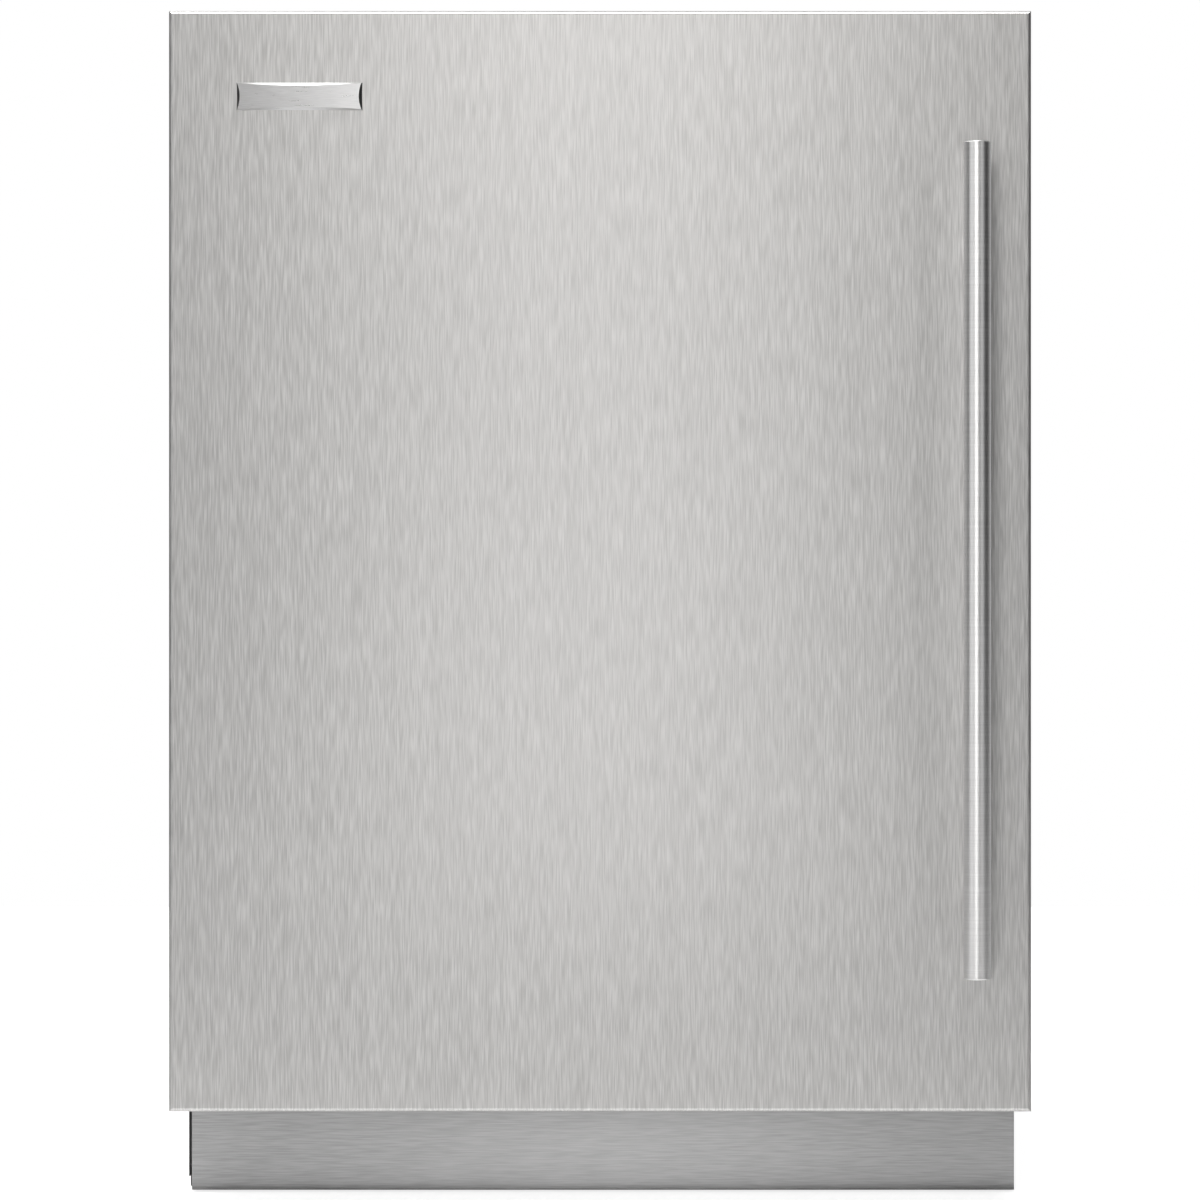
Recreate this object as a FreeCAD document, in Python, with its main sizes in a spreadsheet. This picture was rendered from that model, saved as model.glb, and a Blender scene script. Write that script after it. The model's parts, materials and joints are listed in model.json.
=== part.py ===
"""Undercounter refrigerator: a free-standing cabinet with one overlay door hung on the left.

Frame: X runs to the right across the door, Y from the door to the back, Z up. The origin is on
the floor, at the middle of the width and of the whole depth from the handle to the back panel.
"""

import FreeCAD, Part

import math
import os
import re

import Sketcher

V = FreeCAD.Vector

# Driving sizes in millimetres: alias, value, what it is.
SIZES = [
    ("total_d", 667, "handle's front to the screw heads at the back"),
    ("panel_w", 603.25, "door panel width"),
    ("panel_h", 770, "door panel height"),
    ("panel_t", 19, "door panel thickness"),
    ("panel_z", 69.5, "floor to door panel"),
    ("panel_skin_t", 1.2, "door panel sheet"),
    ("panel_bend", 3, "door panel's outside bend radius"),
    ("handle_reach", 57, "door panel to handle's front"),
    ("handle_d", 19, "handle tube diameter"),
    ("handle_wall", 1.5, "handle tube wall"),
    ("handle_len", 574, "handle length"),
    ("handle_inset", 42.3, "panel's right edge to handle axis"),
    ("post_d", 10, "handle post diameter"),
    ("post_inset", 64, "handle's end to post axis"),
    ("badge_w", 88, "name plate width"),
    ("badge_h", 19.6, "name plate height"),
    ("badge_t", 2.4, "name plate thickness"),
    ("badge_bevel", 0.7, "name plate's corner bevel"),
    ("badge_sag", 1.7, "how far the sides of the plate's face sag"),
    ("badge_foot_sag", 0.3, "how far the sides of the plate's foot sag"),
    ("badge_left", 47.6, "panel's left edge to name plate"),
    ("badge_drop", 60.2, "panel's top to name plate's centre"),
    ("door_t", 45, "insulated door thickness"),
    ("door_w", 591, "insulated door width"),
    ("door_z", 84, "floor to insulated door"),
    ("door_top", 830, "floor to insulated door's top"),
    ("door_skin", 1, "insulated door's sheet"),
    ("door_lining", 2, "door lining thickness"),
    ("seal_gap", 12.5, "insulated door to cabinet face"),
    ("seal_w", 16, "gasket head width"),
    ("seal_x", 283.5, "gasket's outer half width"),
    ("seal_z", 96, "floor to gasket"),
    ("seal_top", 822, "floor to gasket's top"),
    ("dyke_x", 246, "half width outside the door lining's raised rim"),
    ("dyke_w", 24, "width of the raised rim"),
    ("dyke_z", 134, "floor to the raised rim"),
    ("dyke_top", 788, "floor to the rim's top"),
    ("dyke_h", 26.5, "height of the raised rim"),
    ("screw_head", 2.8, "height of a case screw's head"),
    ("screw_r", 2, "radius of a case screw's shank"),
    ("case_w", 595, "cabinet width"),
    ("case_top", 834, "floor to cabinet top"),
    ("case_skin", 1, "cabinet wrapper sheet"),
    ("skirt_z", 12, "floor to the wrapper's lower edge"),
    ("back_t", 1.2, "back panel and deck sheet"),
    ("roof_lip", 16, "height of the compartment roof's back lip"),
    ("bead_z", 60, "compartment roof to the back panel's lowest bead"),
    ("bead_h", 14, "height of a bead"),
    ("bead_span", 390, "lowest bead to the highest"),
    ("louvre_w", 124, "rear cover's louvre width"),
    ("louvre_h", 6, "louvre height"),
    ("louvre_z", 94, "floor to the lowest louvre"),
    ("louvre_span", 168, "lowest louvre to the highest"),
    ("inlet_w", 48, "power inlet opening width"),
    ("inlet_h", 28, "power inlet opening height"),
    ("face_side", 27.5, "width of the cabinet face's steel at the sides"),
    ("face_top", 21, "the same at the top"),
    ("face_low", 29, "the same at the bottom"),
    ("deck_z", 82, "floor to the deck under the cabinet"),
    ("step_y", 118, "front wall of the machine compartment"),
    ("step_z", 300, "floor to the machine compartment's roof"),
    ("cavity_w", 510, "cavity width"),
    ("cavity_z", 126, "floor to the cavity's floor"),
    ("cavity_top", 798, "floor to the cavity's ceiling"),
    ("cavity_back", 270, "cavity's back wall"),
    ("ledge_y", 78, "front of the raised cavity floor"),
    ("ledge_z", 340, "floor to the raised cavity floor"),
    ("lining_t", 2, "cabinet lining thickness"),
    ("cavity_round", 14, "corner radius in the cavity"),
    ("rib_w", 6, "depth of a shelf rib"),
    ("rib_h", 8, "height of a shelf rib"),
    ("rib_pitch", 50, "height between shelf ribs"),
    ("rib_first", 195, "floor to the top of the lowest rib"),
    ("shelf_front", -105, "front edge of the shelves"),
    ("shelf_back", 205, "back edge of the shelves"),
    ("shelf_w", 506, "shelf width"),
    ("shelf_t", 12, "shelf frame thickness"),
    ("shelf_rim", 12, "shelf frame width"),
    ("glass_t", 4, "shelf glass thickness"),
    ("duct_y", 213, "front of the air duct cover"),
    ("duct_w", 470, "air duct cover width"),
    ("duct_z", 356, "floor to the air duct cover"),
    ("duct_top", 782, "floor to the duct cover's top"),
    ("duct_skin", 2, "duct cover wall"),
    ("duct_front", 5, "duct cover's front wall"),
    ("vent_w", 90, "air vent width"),
    ("vent_h", 6, "air vent height"),
    ("vent_z", 372, "floor to the lowest air vent"),
    ("vent_span", 70, "lowest air vent to the highest"),
    ("grille_t", 3, "fan grille thickness"),
    ("fan_z", 690, "floor to the evaporator fan's axis"),
    ("console_w", 300, "control console width"),
    ("console_h", 28, "control console height"),
    ("console_y", -165, "front of the control console"),
    ("console_d", 70, "control console depth"),
    ("window_w", 80, "display window width"),
    ("window_h", 14, "display window height"),
    ("key_r", 6, "key radius"),
    ("key_proud", 1.6, "how far a key stands out"),
    ("lens_w", 240, "lamp lens width"),
    ("comp_r", 72, "compressor shell radius"),
    ("comp_h", 150, "height of the compressor above its mounts"),
    ("comp_feet_w", 190, "compressor feet plate width"),
    ("comp_feet_d", 124, "compressor feet plate depth"),
    ("mount_h", 16, "compressor mount height"),
    ("cond_fan_z", 140, "floor to the condenser fan's axis"),
    ("shroud_w", 176, "condenser shroud width"),
    ("melt_z", 226, "floor to the melt water tray"),
    ("melt_h", 28, "melt water tray height"),
    ("rail_w", 40, "base side rail width"),
    ("rail_z", 20, "floor to the base rails"),
    ("rail_t", 2, "base rail sheet"),
    ("cross_top", 74.5, "floor to the front cross rail's top"),
    ("cross_y", 6, "cabinet face to the front cross rail"),
    ("cross_d", 60, "cross rail depth"),
    ("nut_w", 17, "weld nut size across flats"),
    ("nut_top", 12, "base frame's underside to a weld nut's top"),
    ("tray_front", 34, "floor to the compressor tray's front lip"),
    ("tray_back", 50, "floor to the compressor tray's back lip"),
    ("kick_z", 2, "floor to kick plate"),
    ("kick_top", 72, "floor to the kick plate's top"),
    ("kick_t", 1.2, "kick plate sheet"),
    ("kick_back", 2.5, "cabinet face to the kick plate's face"),
    ("kick_reveal", 2.2, "cabinet side left showing beside the kick plate"),
    ("kick_lip", 3.2, "depth of the kick plate's upper fold"),
    ("kick_foot", 10, "depth of its lower fold"),
    ("clip_w", 24, "kick plate clip width"),
    ("leg_x", 262, "front legs' distance from the middle"),
    ("leg_x_back", 276.5, "back legs' distance from the middle"),
    ("leg_y_back", 290, "back legs' place"),
    ("leg_rod", 10, "leg thread diameter"),
    ("leg_top", 60, "floor to a leg's top"),
    ("foot_r", 19, "leg foot radius"),
    ("foot_h", 8, "leg foot height"),
    ("pin_inset", 16, "panel's left edge to hinge axis"),
    ("pin_back", 12.5, "panel's back to hinge axis"),
    ("pin_d", 10, "hinge pin diameter"),
    ("plate_t", 4.5, "top hinge plate thickness"),
    ("bracket_t", 5, "bottom hinge plate thickness"),
    ("plate_w", 50, "hinge axis to a hinge plate's inner side"),
    ("plate_len", 130, "hinge axis to the top plate's end"),
    ("bracket_len", 78, "hinge axis to the bottom plate's end"),
    ("pin_reach", 17, "length of a pin inside the door"),
    ("bush_len", 22, "hinge bush length"),
    ("bush_rim", 9.8, "hinge bush flange radius"),
    ("bush_rim_t", 3.7, "hinge bush flange thickness"),
    ("hinge_screw_r", 2.5, "hinge screw radius"),
    ("hinge_screw_len", 16, "hinge screw length"),
    ("fit", 0.05, "running clearance on a radius"),
    ("bin_x", 219.5, "half width of the door bins"),
    ("bin_y", -118, "cavity side of the door bins"),
    ("bin_t", 3, "door bin wall"),
    ("bin_round", 9, "door bin corner radius"),
    ("bin_lip", 24, "how far the bin's cavity side is cut down"),
    ("bin_rail_h", 14, "bin rail height"),
    ("low_bin_z", 160, "floor to the lower bin"),
    ("low_bin_h", 96, "lower bin height"),
    ("mid_bin_z", 366, "floor to the middle bin"),
    ("mid_bin_h", 86, "middle bin height"),
    ("dairy_z", 578, "floor to the dairy box"),
    ("dairy_h", 90, "dairy box height"),
    ("lid_axis_y", -204.6, "dairy lid's hinge axis"),
    ("lid_axis_z", 663.8, "floor to the dairy lid's hinge axis"),
    ("lid_gap", 0.5, "dairy box's rim to its lid"),
    ("lid_t", 2.5, "dairy lid thickness"),
]
ALIASES = [alias for alias, _, _ in SIZES]
VALUE = {alias: value for alias, value, _ in SIZES}
WORD = re.compile(r"\b(" + "|".join(ALIASES) + r")\b")
MOST_NODES = 60

# Places worked out from the driving sizes, as formulas.
PANEL_FRONT = "(handle_reach - total_d / 2)"
PANEL_BACK = "(handle_reach + panel_t - total_d / 2)"
DOOR_BACK = f"({PANEL_BACK} + door_t)"
FACE = f"({DOOR_BACK} + seal_gap)"
BACK = "(total_d / 2 - screw_head)"
CASE_X = "(case_w / 2)"
INNER_X = "(case_w / 2 - case_skin)"
PANEL_X = "(panel_w / 2)"
PANEL_TOP = "(panel_z + panel_h)"
DOOR_X = "(door_w / 2)"
PIN_X = "(pin_inset - panel_w / 2)"
PIN_Y = f"({PANEL_BACK} + pin_back)"
HANDLE_X = "(panel_w / 2 - handle_inset)"
HANDLE_Y = "(handle_d / 2 - total_d / 2)"
HANDLE_Z = "(panel_z + panel_h / 2 - handle_len / 2)"
FACE_X = "(case_w / 2 - face_side)"
FACE_Z = "(deck_z + face_low)"
FACE_TOP = "(case_top - face_top)"
CAVITY_X = "(cavity_w / 2)"
LEG_Y = f"({FACE} + cross_y + cross_d / 2)"

doc = FreeCAD.newDocument("undercounter_refrigerator")
sheet = doc.addObject("Spreadsheet::Sheet", "Sizes")
for row, (alias, value, meaning) in enumerate(SIZES, 1):
    sheet.set(f"A{row}", meaning)
    sheet.set(f"B{row}", str(value))
    sheet.setAlias(f"B{row}", alias)
doc.recompute()
nodes = []


# ---- Drawing helpers -------------------------------------------------------------------------


def bind(thing, prop, formula):
    """Binds a property to a formula written with the sheet's aliases."""
    thing.setExpression(prop, WORD.sub(r"Sizes.\1", str(formula)))


def node(thing, name=None):
    """Lists an object as a sub-part of the refrigerator."""
    if name:
        thing.Label = name
    nodes.append(thing)
    return thing


def slab(name, x, y, z):
    """A block between pairs of formulas."""
    block = doc.addObject("Part::Box", name)
    for side, axis, (low, high) in (("Length", "x", x), ("Width", "y", y), ("Height", "z", z)):
        bind(block, side, f"({high}) - ({low})")
        bind(block, f"Placement.Base.{axis}", low)
    return block


def turn_to(axis):
    """The rotation that carries +Z to an axis."""
    return {
        "X": FreeCAD.Rotation(V(0, 1, 0), 90),
        "Y": FreeCAD.Rotation(V(1, 0, 0), -90),
        "Z": FreeCAD.Rotation(),
    }[axis]


def place(thing, x, y, z, axis="Z"):
    """Moves an object so that its own origin is at a point and its +Z along an axis."""
    thing.Placement = FreeCAD.Placement(V(), turn_to(axis))
    for side, formula in zip("xyz", (x, y, z)):
        bind(thing, f"Placement.Base.{side}", formula)
    return thing


def rod(name, axis, x, y, z, radius, length):
    """A cylinder from a point along an axis."""
    cylinder = doc.addObject("Part::Cylinder", name)
    bind(cylinder, "Radius", radius)
    bind(cylinder, "Height", length)
    return place(cylinder, x, y, z, axis)


def fuse(name, *parts):
    joined = doc.addObject("Part::MultiFuse", name)
    joined.Shapes = list(parts)
    joined.Refine = True
    return joined


def cut(name, base, *tools):
    result = doc.addObject("Part::Cut", name)
    result.Base = base
    result.Tool = tools[0] if len(tools) == 1 else fuse(name + "_tools", *tools)
    return result


def group(name, *parts):
    """Separate solids under one name."""
    bundle = doc.addObject("Part::Compound", name)
    bundle.Links = list(parts)
    return bundle


def rect(x0, x1, y0, y1):
    """A rectangle's corners."""
    return [(x0, y0), (x1, y0), (x1, y1), (x0, y1)]


def around(x, y, half_w, half_h):
    """The corners of a rectangle about a middle."""
    return rect(f"{x} - {half_w}", f"{x} + {half_w}", f"{y} - {half_h}", f"{y} + {half_h}")


def frame(half_w, low, high, rim):
    """A rectangular ring, even about the vertical: its outer and inner outlines."""
    inner = f"({half_w}) - ({rim})"
    return [
        rect(f"-({half_w})", half_w, low, high),
        rect(f"-({inner})", inner, f"({low}) + ({rim})", f"({high}) - ({rim})"),
    ]


def hexagon(x, y, across):
    """A hexagon's corners, from its size across flats."""
    points = []
    for k in range(6):
        dx = math.cos(math.radians(60 * k)) / math.sqrt(3)
        dy = math.sin(math.radians(60 * k)) / math.sqrt(3)
        points.append((f"({x}) + ({across}) * {dx:.5f}", f"({y}) + ({across}) * {dy:.5f}"))
    return points


def draw_corners(sketch, corners):
    """A closed outline through corners, each held by its two coordinates."""
    count = len(corners)
    start = sketch.GeometryCount
    ring = [V(math.cos(math.tau * k / count), math.sin(math.tau * k / count)) for k in range(count)]
    for k in range(count):
        sketch.addGeometry(Part.LineSegment(ring[k], ring[(k + 1) % count]))
    for k, (x, y) in enumerate(corners):
        following = start + (k + 1) % count
        sketch.addConstraint(Sketcher.Constraint("Coincident", start + k, 2, following, 1))
        for kind, formula in (("DistanceX", x), ("DistanceY", y)):
            held = sketch.addConstraint(Sketcher.Constraint(kind, -1, 1, start + k, 1, 1.0))
            bind(sketch, f"Constraints[{held}]", formula)


def draw_circle(sketch, x, y, radius):
    """A circle held by its centre and radius."""
    circle = sketch.addGeometry(Part.Circle(V(1, 1, 0), V(0, 0, 1), 5))
    held = (
        (Sketcher.Constraint("DistanceX", -1, 1, circle, 3, 1.0), x),
        (Sketcher.Constraint("DistanceY", -1, 1, circle, 3, 1.0), y),
        (Sketcher.Constraint("Radius", circle, 1.0), radius),
    )
    for constraint, formula in held:
        bind(sketch, f"Constraints[{sketch.addConstraint(constraint)}]", formula)


def new_body(name):
    body = doc.addObject("PartDesign::Body", name)
    body.AllowCompound = True
    return body


def new_sketch(body, plane, start, outlines):
    """A sketch on one of the body's own planes, drawn at a height along that plane's axis."""
    sketch = body.newObject("Sketcher::SketchObject", body.Name + "_sketch")
    origin = next(f for f in body.Origin.OriginFeatures if f.Role == plane + "_Plane")
    sketch.AttachmentSupport = [(origin, "")]
    sketch.MapMode = "FlatFace"
    bind(sketch, "AttachmentOffset.Base.z", f"-({start})" if plane == "XZ" else start)
    for outline in outlines:
        if isinstance(outline, tuple):
            draw_circle(sketch, *outline)
        else:
            draw_corners(sketch, outline)
    return sketch


def pad(body, plane, start, end, *outlines):
    """Adds material between two heights along the plane's axis."""
    feature = body.newObject("PartDesign::Pad", body.Name + "_pad")
    feature.Profile = new_sketch(body, plane, start, outlines)
    feature.Reversed = plane == "XZ"
    bind(feature, "Length", f"({end}) - ({start})")
    body.Tip = feature
    return feature


def pocket(body, plane, start, end, *outlines):
    """Takes material away between two heights along the plane's axis."""
    feature = body.newObject("PartDesign::Pocket", body.Name + "_pocket")
    feature.Profile = new_sketch(body, plane, start, outlines)
    feature.Reversed = plane != "XZ"
    bind(feature, "Length", f"({end}) - ({start})")
    body.Tip = feature
    return feature


def prism(name, plane, start, end, *outlines):
    """A body with a single pad."""
    body = new_body(name)
    pad(body, plane, start, end, *outlines)
    return body


def turned(name, profile):
    """A body turned about its own Z axis from a half profile of (radius, height)."""
    body = new_body(name)
    feature = body.newObject("PartDesign::Revolution", name + "_turned")
    feature.Profile = new_sketch(body, "XZ", "0", [profile])
    feature.ReferenceAxis = (feature.Profile[0], ["V_Axis"])
    feature.Angle = 360
    body.Tip = feature
    return body


def ease(body, kind, size, wanted):
    """Fillets or chamfers the edges of the body's tip that the test picks."""
    doc.recompute()
    tip = body.Tip
    box = tip.Shape.BoundBox
    names = [f"Edge{k}" for k, e in enumerate(tip.Shape.Edges, 1) if wanted(e, box)]
    feature = body.newObject("PartDesign::" + kind, f"{body.Name}_{kind.lower()}")
    feature.Base = (tip, names)
    bind(feature, "Radius" if kind == "Fillet" else "Size", size)
    body.Tip = feature
    doc.recompute()
    return feature


def runs(edge, axis):
    """Whether an edge is straight along x, y or z."""
    return isinstance(edge.Curve, Part.Line) and abs(getattr(edge.tangentAt(0), axis)) > 0.999


def lies(edge, axis, value):
    """Whether an edge lies in the plane across an axis at a value."""
    box = edge.BoundBox
    low, high = getattr(box, axis + "Min"), getattr(box, axis + "Max")
    return abs(low - value) < 0.01 and abs(high - value) < 0.01


def pattern(body, feature, axis, length, count):
    """Repeats a feature in a straight row along one of the body's axes."""
    rows = body.newObject("PartDesign::LinearPattern", body.Name + "_rows")
    rows.Originals = [feature]
    direction = next(f for f in body.Origin.OriginFeatures if f.Role == axis + "_Axis")
    rows.Direction = (direction, [""])
    bind(rows, "Length", length)
    bind(rows, "Occurrences", count)
    body.Tip = rows
    return rows


def tube(points, bends, radius):
    """A pipe along straight runs joined by bends, as a plain shape."""
    places = [V(*p) for p in points]
    edges, at = [], places[0]
    for before, corner, after, bend in zip(places, places[1:], places[2:], bends):
        back, on = (before - corner).normalize(), (after - corner).normalize()
        half = back.getAngle(on) / 2
        reach = bend / math.tan(half)
        first, last = corner + back * reach, corner + on * reach
        centre = corner + (back + on).normalize() * (bend / math.sin(half))
        middle = centre + (corner - centre).normalize() * bend
        edges += [Part.LineSegment(at, first).toShape(), Part.Arc(first, middle, last).toShape()]
        at = last
    edges.append(Part.LineSegment(at, places[-1]).toShape())
    path = Part.Wire(edges)
    start = Part.Wire(Part.makeCircle(radius, places[0], places[1] - places[0]))
    return path.makePipeShell([start], True, False)


def screw(name, x, y, z, axis, head, length):
    """A pan-head screw with a hexagon socket; its head's face is at the point, its shank goes on."""
    body = turned(
        name,
        [
            ("0", "0"),
            (f"{head} * 0.8", "0"),
            (head, f"{head} * 0.2"),
            (head, f"{head} * 0.7"),
            (f"{head} * 0.5", f"{head} * 0.7"),
            (f"{head} * 0.5", length),
            ("0", length),
        ],
    )
    pocket(body, "XY", "0", f"{head} * 0.4", hexagon("0", "0", f"{head} * 0.8"))
    return place(body, x, y, z, axis)


# ---- Cabinet ---------------------------------------------------------------------------------


def make_wrapper():
    """The folded outer sheet: both sides, the top, and the return round the opening."""
    body = new_body("case_wrapper")
    inner_top = "case_top - case_skin"
    outline = [
        (f"-{CASE_X}", "skirt_z"),
        (f"-{CASE_X}", "case_top"),
        (CASE_X, "case_top"),
        (CASE_X, "skirt_z"),
        (INNER_X, "skirt_z"),
        (INNER_X, inner_top),
        (f"-{INNER_X}", inner_top),
        (f"-{INNER_X}", "skirt_z"),
    ]
    pad(body, "XZ", FACE, BACK, outline)
    returns = [
        (f"-{CASE_X}", "deck_z"),
        (f"-{CASE_X}", "case_top"),
        (CASE_X, "case_top"),
        (CASE_X, "deck_z"),
        (FACE_X, "deck_z"),
        (FACE_X, FACE_TOP),
        (f"-{FACE_X}", FACE_TOP),
        (f"-{FACE_X}", "deck_z"),
    ]
    pad(body, "XZ", FACE, f"{FACE} + case_skin", returns)
    across = rect(f"-{CASE_X}", CASE_X, "skirt_z", "deck_z")
    pocket(body, "XZ", FACE, f"{FACE} + kick_back + kick_t", across)
    ease(body, "Fillet", "case_skin * 0.9", outer_corner)
    holes = [(x, y, "hinge_screw_r + fit") for x, y in HINGE_SCREWS]
    pocket(body, "XY", "case_top - case_skin - 1", "case_top + 1", *holes)
    return node(body)


def outer_corner(edge, box):
    """The wrapper's two long top corners."""
    at_side = lies(edge, "X", box.XMin) or lies(edge, "X", box.XMax)
    return runs(edge, "y") and at_side and lies(edge, "Z", box.ZMax)


def make_deck():
    """The folded sheet under the insulation: front flange, deck, riser and compartment roof."""
    body = new_body("case_deck")
    skin = "back_t"
    profile = [
        (f"{FACE} + {skin}", "deck_z"),
        (f"{FACE} + {skin}", f"deck_z + {skin}"),
        (f"step_y - {skin}", f"deck_z + {skin}"),
        (f"step_y - {skin}", "step_z"),
        (f"{BACK} - {skin}", "step_z"),
        (f"{BACK} - {skin}", "step_z - roof_lip"),
        (f"{BACK} - 2 * {skin}", "step_z - roof_lip"),
        (f"{BACK} - 2 * {skin}", f"step_z - {skin}"),
        ("step_y", f"step_z - {skin}"),
        ("step_y", "deck_z"),
    ]
    pad(body, "YZ", f"-{INNER_X}", INNER_X, profile)
    flange = rect(f"-{FACE_X}", FACE_X, "deck_z", FACE_Z)
    pad(body, "XZ", FACE, f"{FACE} + {skin}", flange)
    passages = [(DRAIN_X, DRAIN_Y, f"{DRAIN_R} + fit"), (SUCTION_X, DRAIN_Y, f"{SUCTION_R} + fit")]
    pocket(body, "XY", f"step_z - {skin} - 1", "step_z + 1", *passages)
    holes = screw_holes(COVER_SCREWS[3:])
    pocket(body, "XZ", f"{BACK} - 2 * {skin} - 1", f"{BACK}", *holes)
    return node(body)


def make_back_panel():
    """The sheet behind the insulation, stiffened by pressed beads."""
    body = new_body("case_back_panel")
    pad(
        body,
        "XZ",
        f"{BACK} - back_t",
        BACK,
        rect(f"-{INNER_X}", INNER_X, "step_z + 2", "case_top - case_skin"),
    )
    bead = pocket(
        body,
        "XZ",
        f"{BACK} - back_t / 2",
        BACK,
        rect("-case_w * 0.4", "case_w * 0.4", "step_z + bead_z", "step_z + bead_z + bead_h"),
    )
    pattern(body, bead, "Z", "bead_span", BEADS)
    pocket(body, "XZ", f"{BACK} - back_t - 1", BACK, *screw_holes(PANEL_SCREWS))
    return node(body)


def make_rear_cover():
    """The louvred sheet that closes the machine compartment."""
    body = new_body("rear_cover")
    low, high = "rail_z + 4", "step_z - 2"
    pad(body, "XZ", f"{BACK} - back_t", BACK, rect(f"-{INNER_X}", INNER_X, low, high))
    slots = [
        rect(f"{x} - louvre_w / 2", f"{x} + louvre_w / 2", "louvre_z", "louvre_z + louvre_h")
        for x in LOUVRE_PLACES
    ]
    louvres = pocket(body, "XZ", f"{BACK} - back_t", BACK, *slots)
    pattern(body, louvres, "Z", "louvre_span", LOUVRES)
    inlet = around(INLET_X, INLET_Z, "inlet_w / 2", "inlet_h / 2")
    pocket(body, "XZ", f"{BACK} - back_t", BACK, inlet, *screw_holes(COVER_SCREWS))
    return node(body)


def screw_holes(places):
    """Clearance holes for case screws, as circles seen along Y."""
    return [(x, z, "screw_r + fit") for x, z in places]


def cavity_block(name, front, grow):
    """The cavity as a square block, with its raised floor, grown on every side but the front."""
    g = grow
    profile = [
        (front, f"cavity_z - {g}"),
        (f"ledge_y + {g}", f"cavity_z - {g}"),
        (f"ledge_y + {g}", f"ledge_z - {g}"),
        (f"cavity_back + {g}", f"ledge_z - {g}"),
        (f"cavity_back + {g}", f"cavity_top + {g}"),
        (front, f"cavity_top + {g}"),
    ]
    return prism(name, "YZ", f"-({CAVITY_X} + {g})", f"{CAVITY_X} + {g}", profile)


def rounded_cavity(name, front, grow):
    """The cavity block with every edge rounded but those round its mouth."""
    body = cavity_block(name, front, grow)
    ease(body, "Fillet", f"cavity_round + {grow}", lambda e, box: e.BoundBox.YMax > box.YMin + 1)
    return body


def make_lining():
    """The moulded lining with its front flange and shelf ribs.

    Returns the block inside the lining's outer face.
    """
    outer = rounded_cavity("lining_outer", FACE, "lining_t")
    flange = slab(
        "lining_flange",
        (f"-{FACE_X}", FACE_X),
        (FACE, f"{FACE} + lining_t"),
        (FACE_Z, FACE_TOP),
    )
    hollow = rounded_cavity("cavity_space", f"{FACE} - 1", "0")
    shell = cut("lining_shell", fuse("lining_mass", outer, flange), hollow)
    ribs = new_body("shelf_ribs")
    in_wall, tip = f"{CAVITY_X} + lining_t / 2", f"{CAVITY_X} - rib_w"
    for back, levels in (("ledge_y - 10", range(4)), ("shelf_back", range(4, 11))):
        outlines = []
        for level in levels:
            high = f"rib_first + rib_pitch * {level}"
            low = f"{high} - rib_h"
            outlines.append(rect(tip, in_wall, low, high))
            outlines.append(rect(f"-({in_wall})", f"-({tip})", low, high))
        pad(ribs, "XZ", "shelf_front - 5", back, *outlines)
    ribbed = fuse("lining_ribbed", shell, ribs)
    drain = rod("drain_hole", "Z", DRAIN_X, DRAIN_Y, "step_z", f"{DRAIN_R} + fit", "60")
    suction = rod("suction_hole", "Z", SUCTION_X, DRAIN_Y, "step_z", f"{SUCTION_R} + fit", "60")
    node(cut("lining", ribbed, drain, suction), "cabinet_lining")
    return outer


def make_foam(lining_outer):
    """The insulation between wrapper, deck, back panel and lining, square inside its corners."""
    front, rear = f"{FACE} + lining_t", f"{BACK} - back_t"
    profile = [
        (front, "deck_z + back_t"),
        ("step_y - back_t", "deck_z + back_t"),
        ("step_y - back_t", "step_z"),
        (rear, "step_z"),
        (rear, "case_top - case_skin"),
        (front, "case_top - case_skin"),
    ]
    block = prism("foam_block", "YZ", f"-{INNER_X}", INNER_X, profile)
    hollow = cavity_block("foam_hollow", FACE, "lining_t")
    holes = []
    for k, (x, r) in enumerate(((DRAIN_X, DRAIN_R), (SUCTION_X, SUCTION_R))):
        holes.append(rod(f"foam_pipe_{k}", "Z", x, DRAIN_Y, "step_z - 1", f"{r} + fit", "60"))
    for k, (x, z) in enumerate(PANEL_SCREWS):
        shank = rod(f"foam_screw_{k}", "Y", x, f"{rear} - 9", z, "screw_r + fit", "10")
        holes.append(shank)
    for k, (x, y) in enumerate(HINGE_SCREWS):
        depth = ("case_top - hinge_screw_len + 2", "hinge_screw_r + fit", "20")
        holes.append(rod(f"foam_hinge_{k}", "Z", x, y, *depth))
    node(cut("foam", block, hollow, lining_outer, *holes), "cabinet_insulation")


def channel(web, lip, inward, high):
    """A channel's section above the base's underside: a web, and two lips that run from it."""
    t = "rail_t"
    low = "rail_z"
    return [
        (web, low),
        (lip, low),
        (lip, f"{low} + {t}"),
        (f"{web} {inward} {t}", f"{low} + {t}"),
        (f"{web} {inward} {t}", f"{high} - {t}"),
        (lip, f"{high} - {t}"),
        (lip, high),
        (web, high),
    ]


def on_nuts(name, rail, places):
    """A rail with a weld nut inside it over each leg's hole."""
    nuts, holes = [], []
    for k, (x, y) in enumerate(places):
        outline = hexagon(x, y, "nut_w")
        nuts.append(prism(f"{name}_nut_{k}", "XY", "rail_z + rail_t", "rail_z + nut_top", outline))
        holes.append(rod(f"{name}_hole_{k}", "Z", x, y, "rail_z - 1", "leg_rod / 2 + fit", "20"))
    return cut(name, fuse(name + "_welded", rail, *nuts), *holes)


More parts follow.
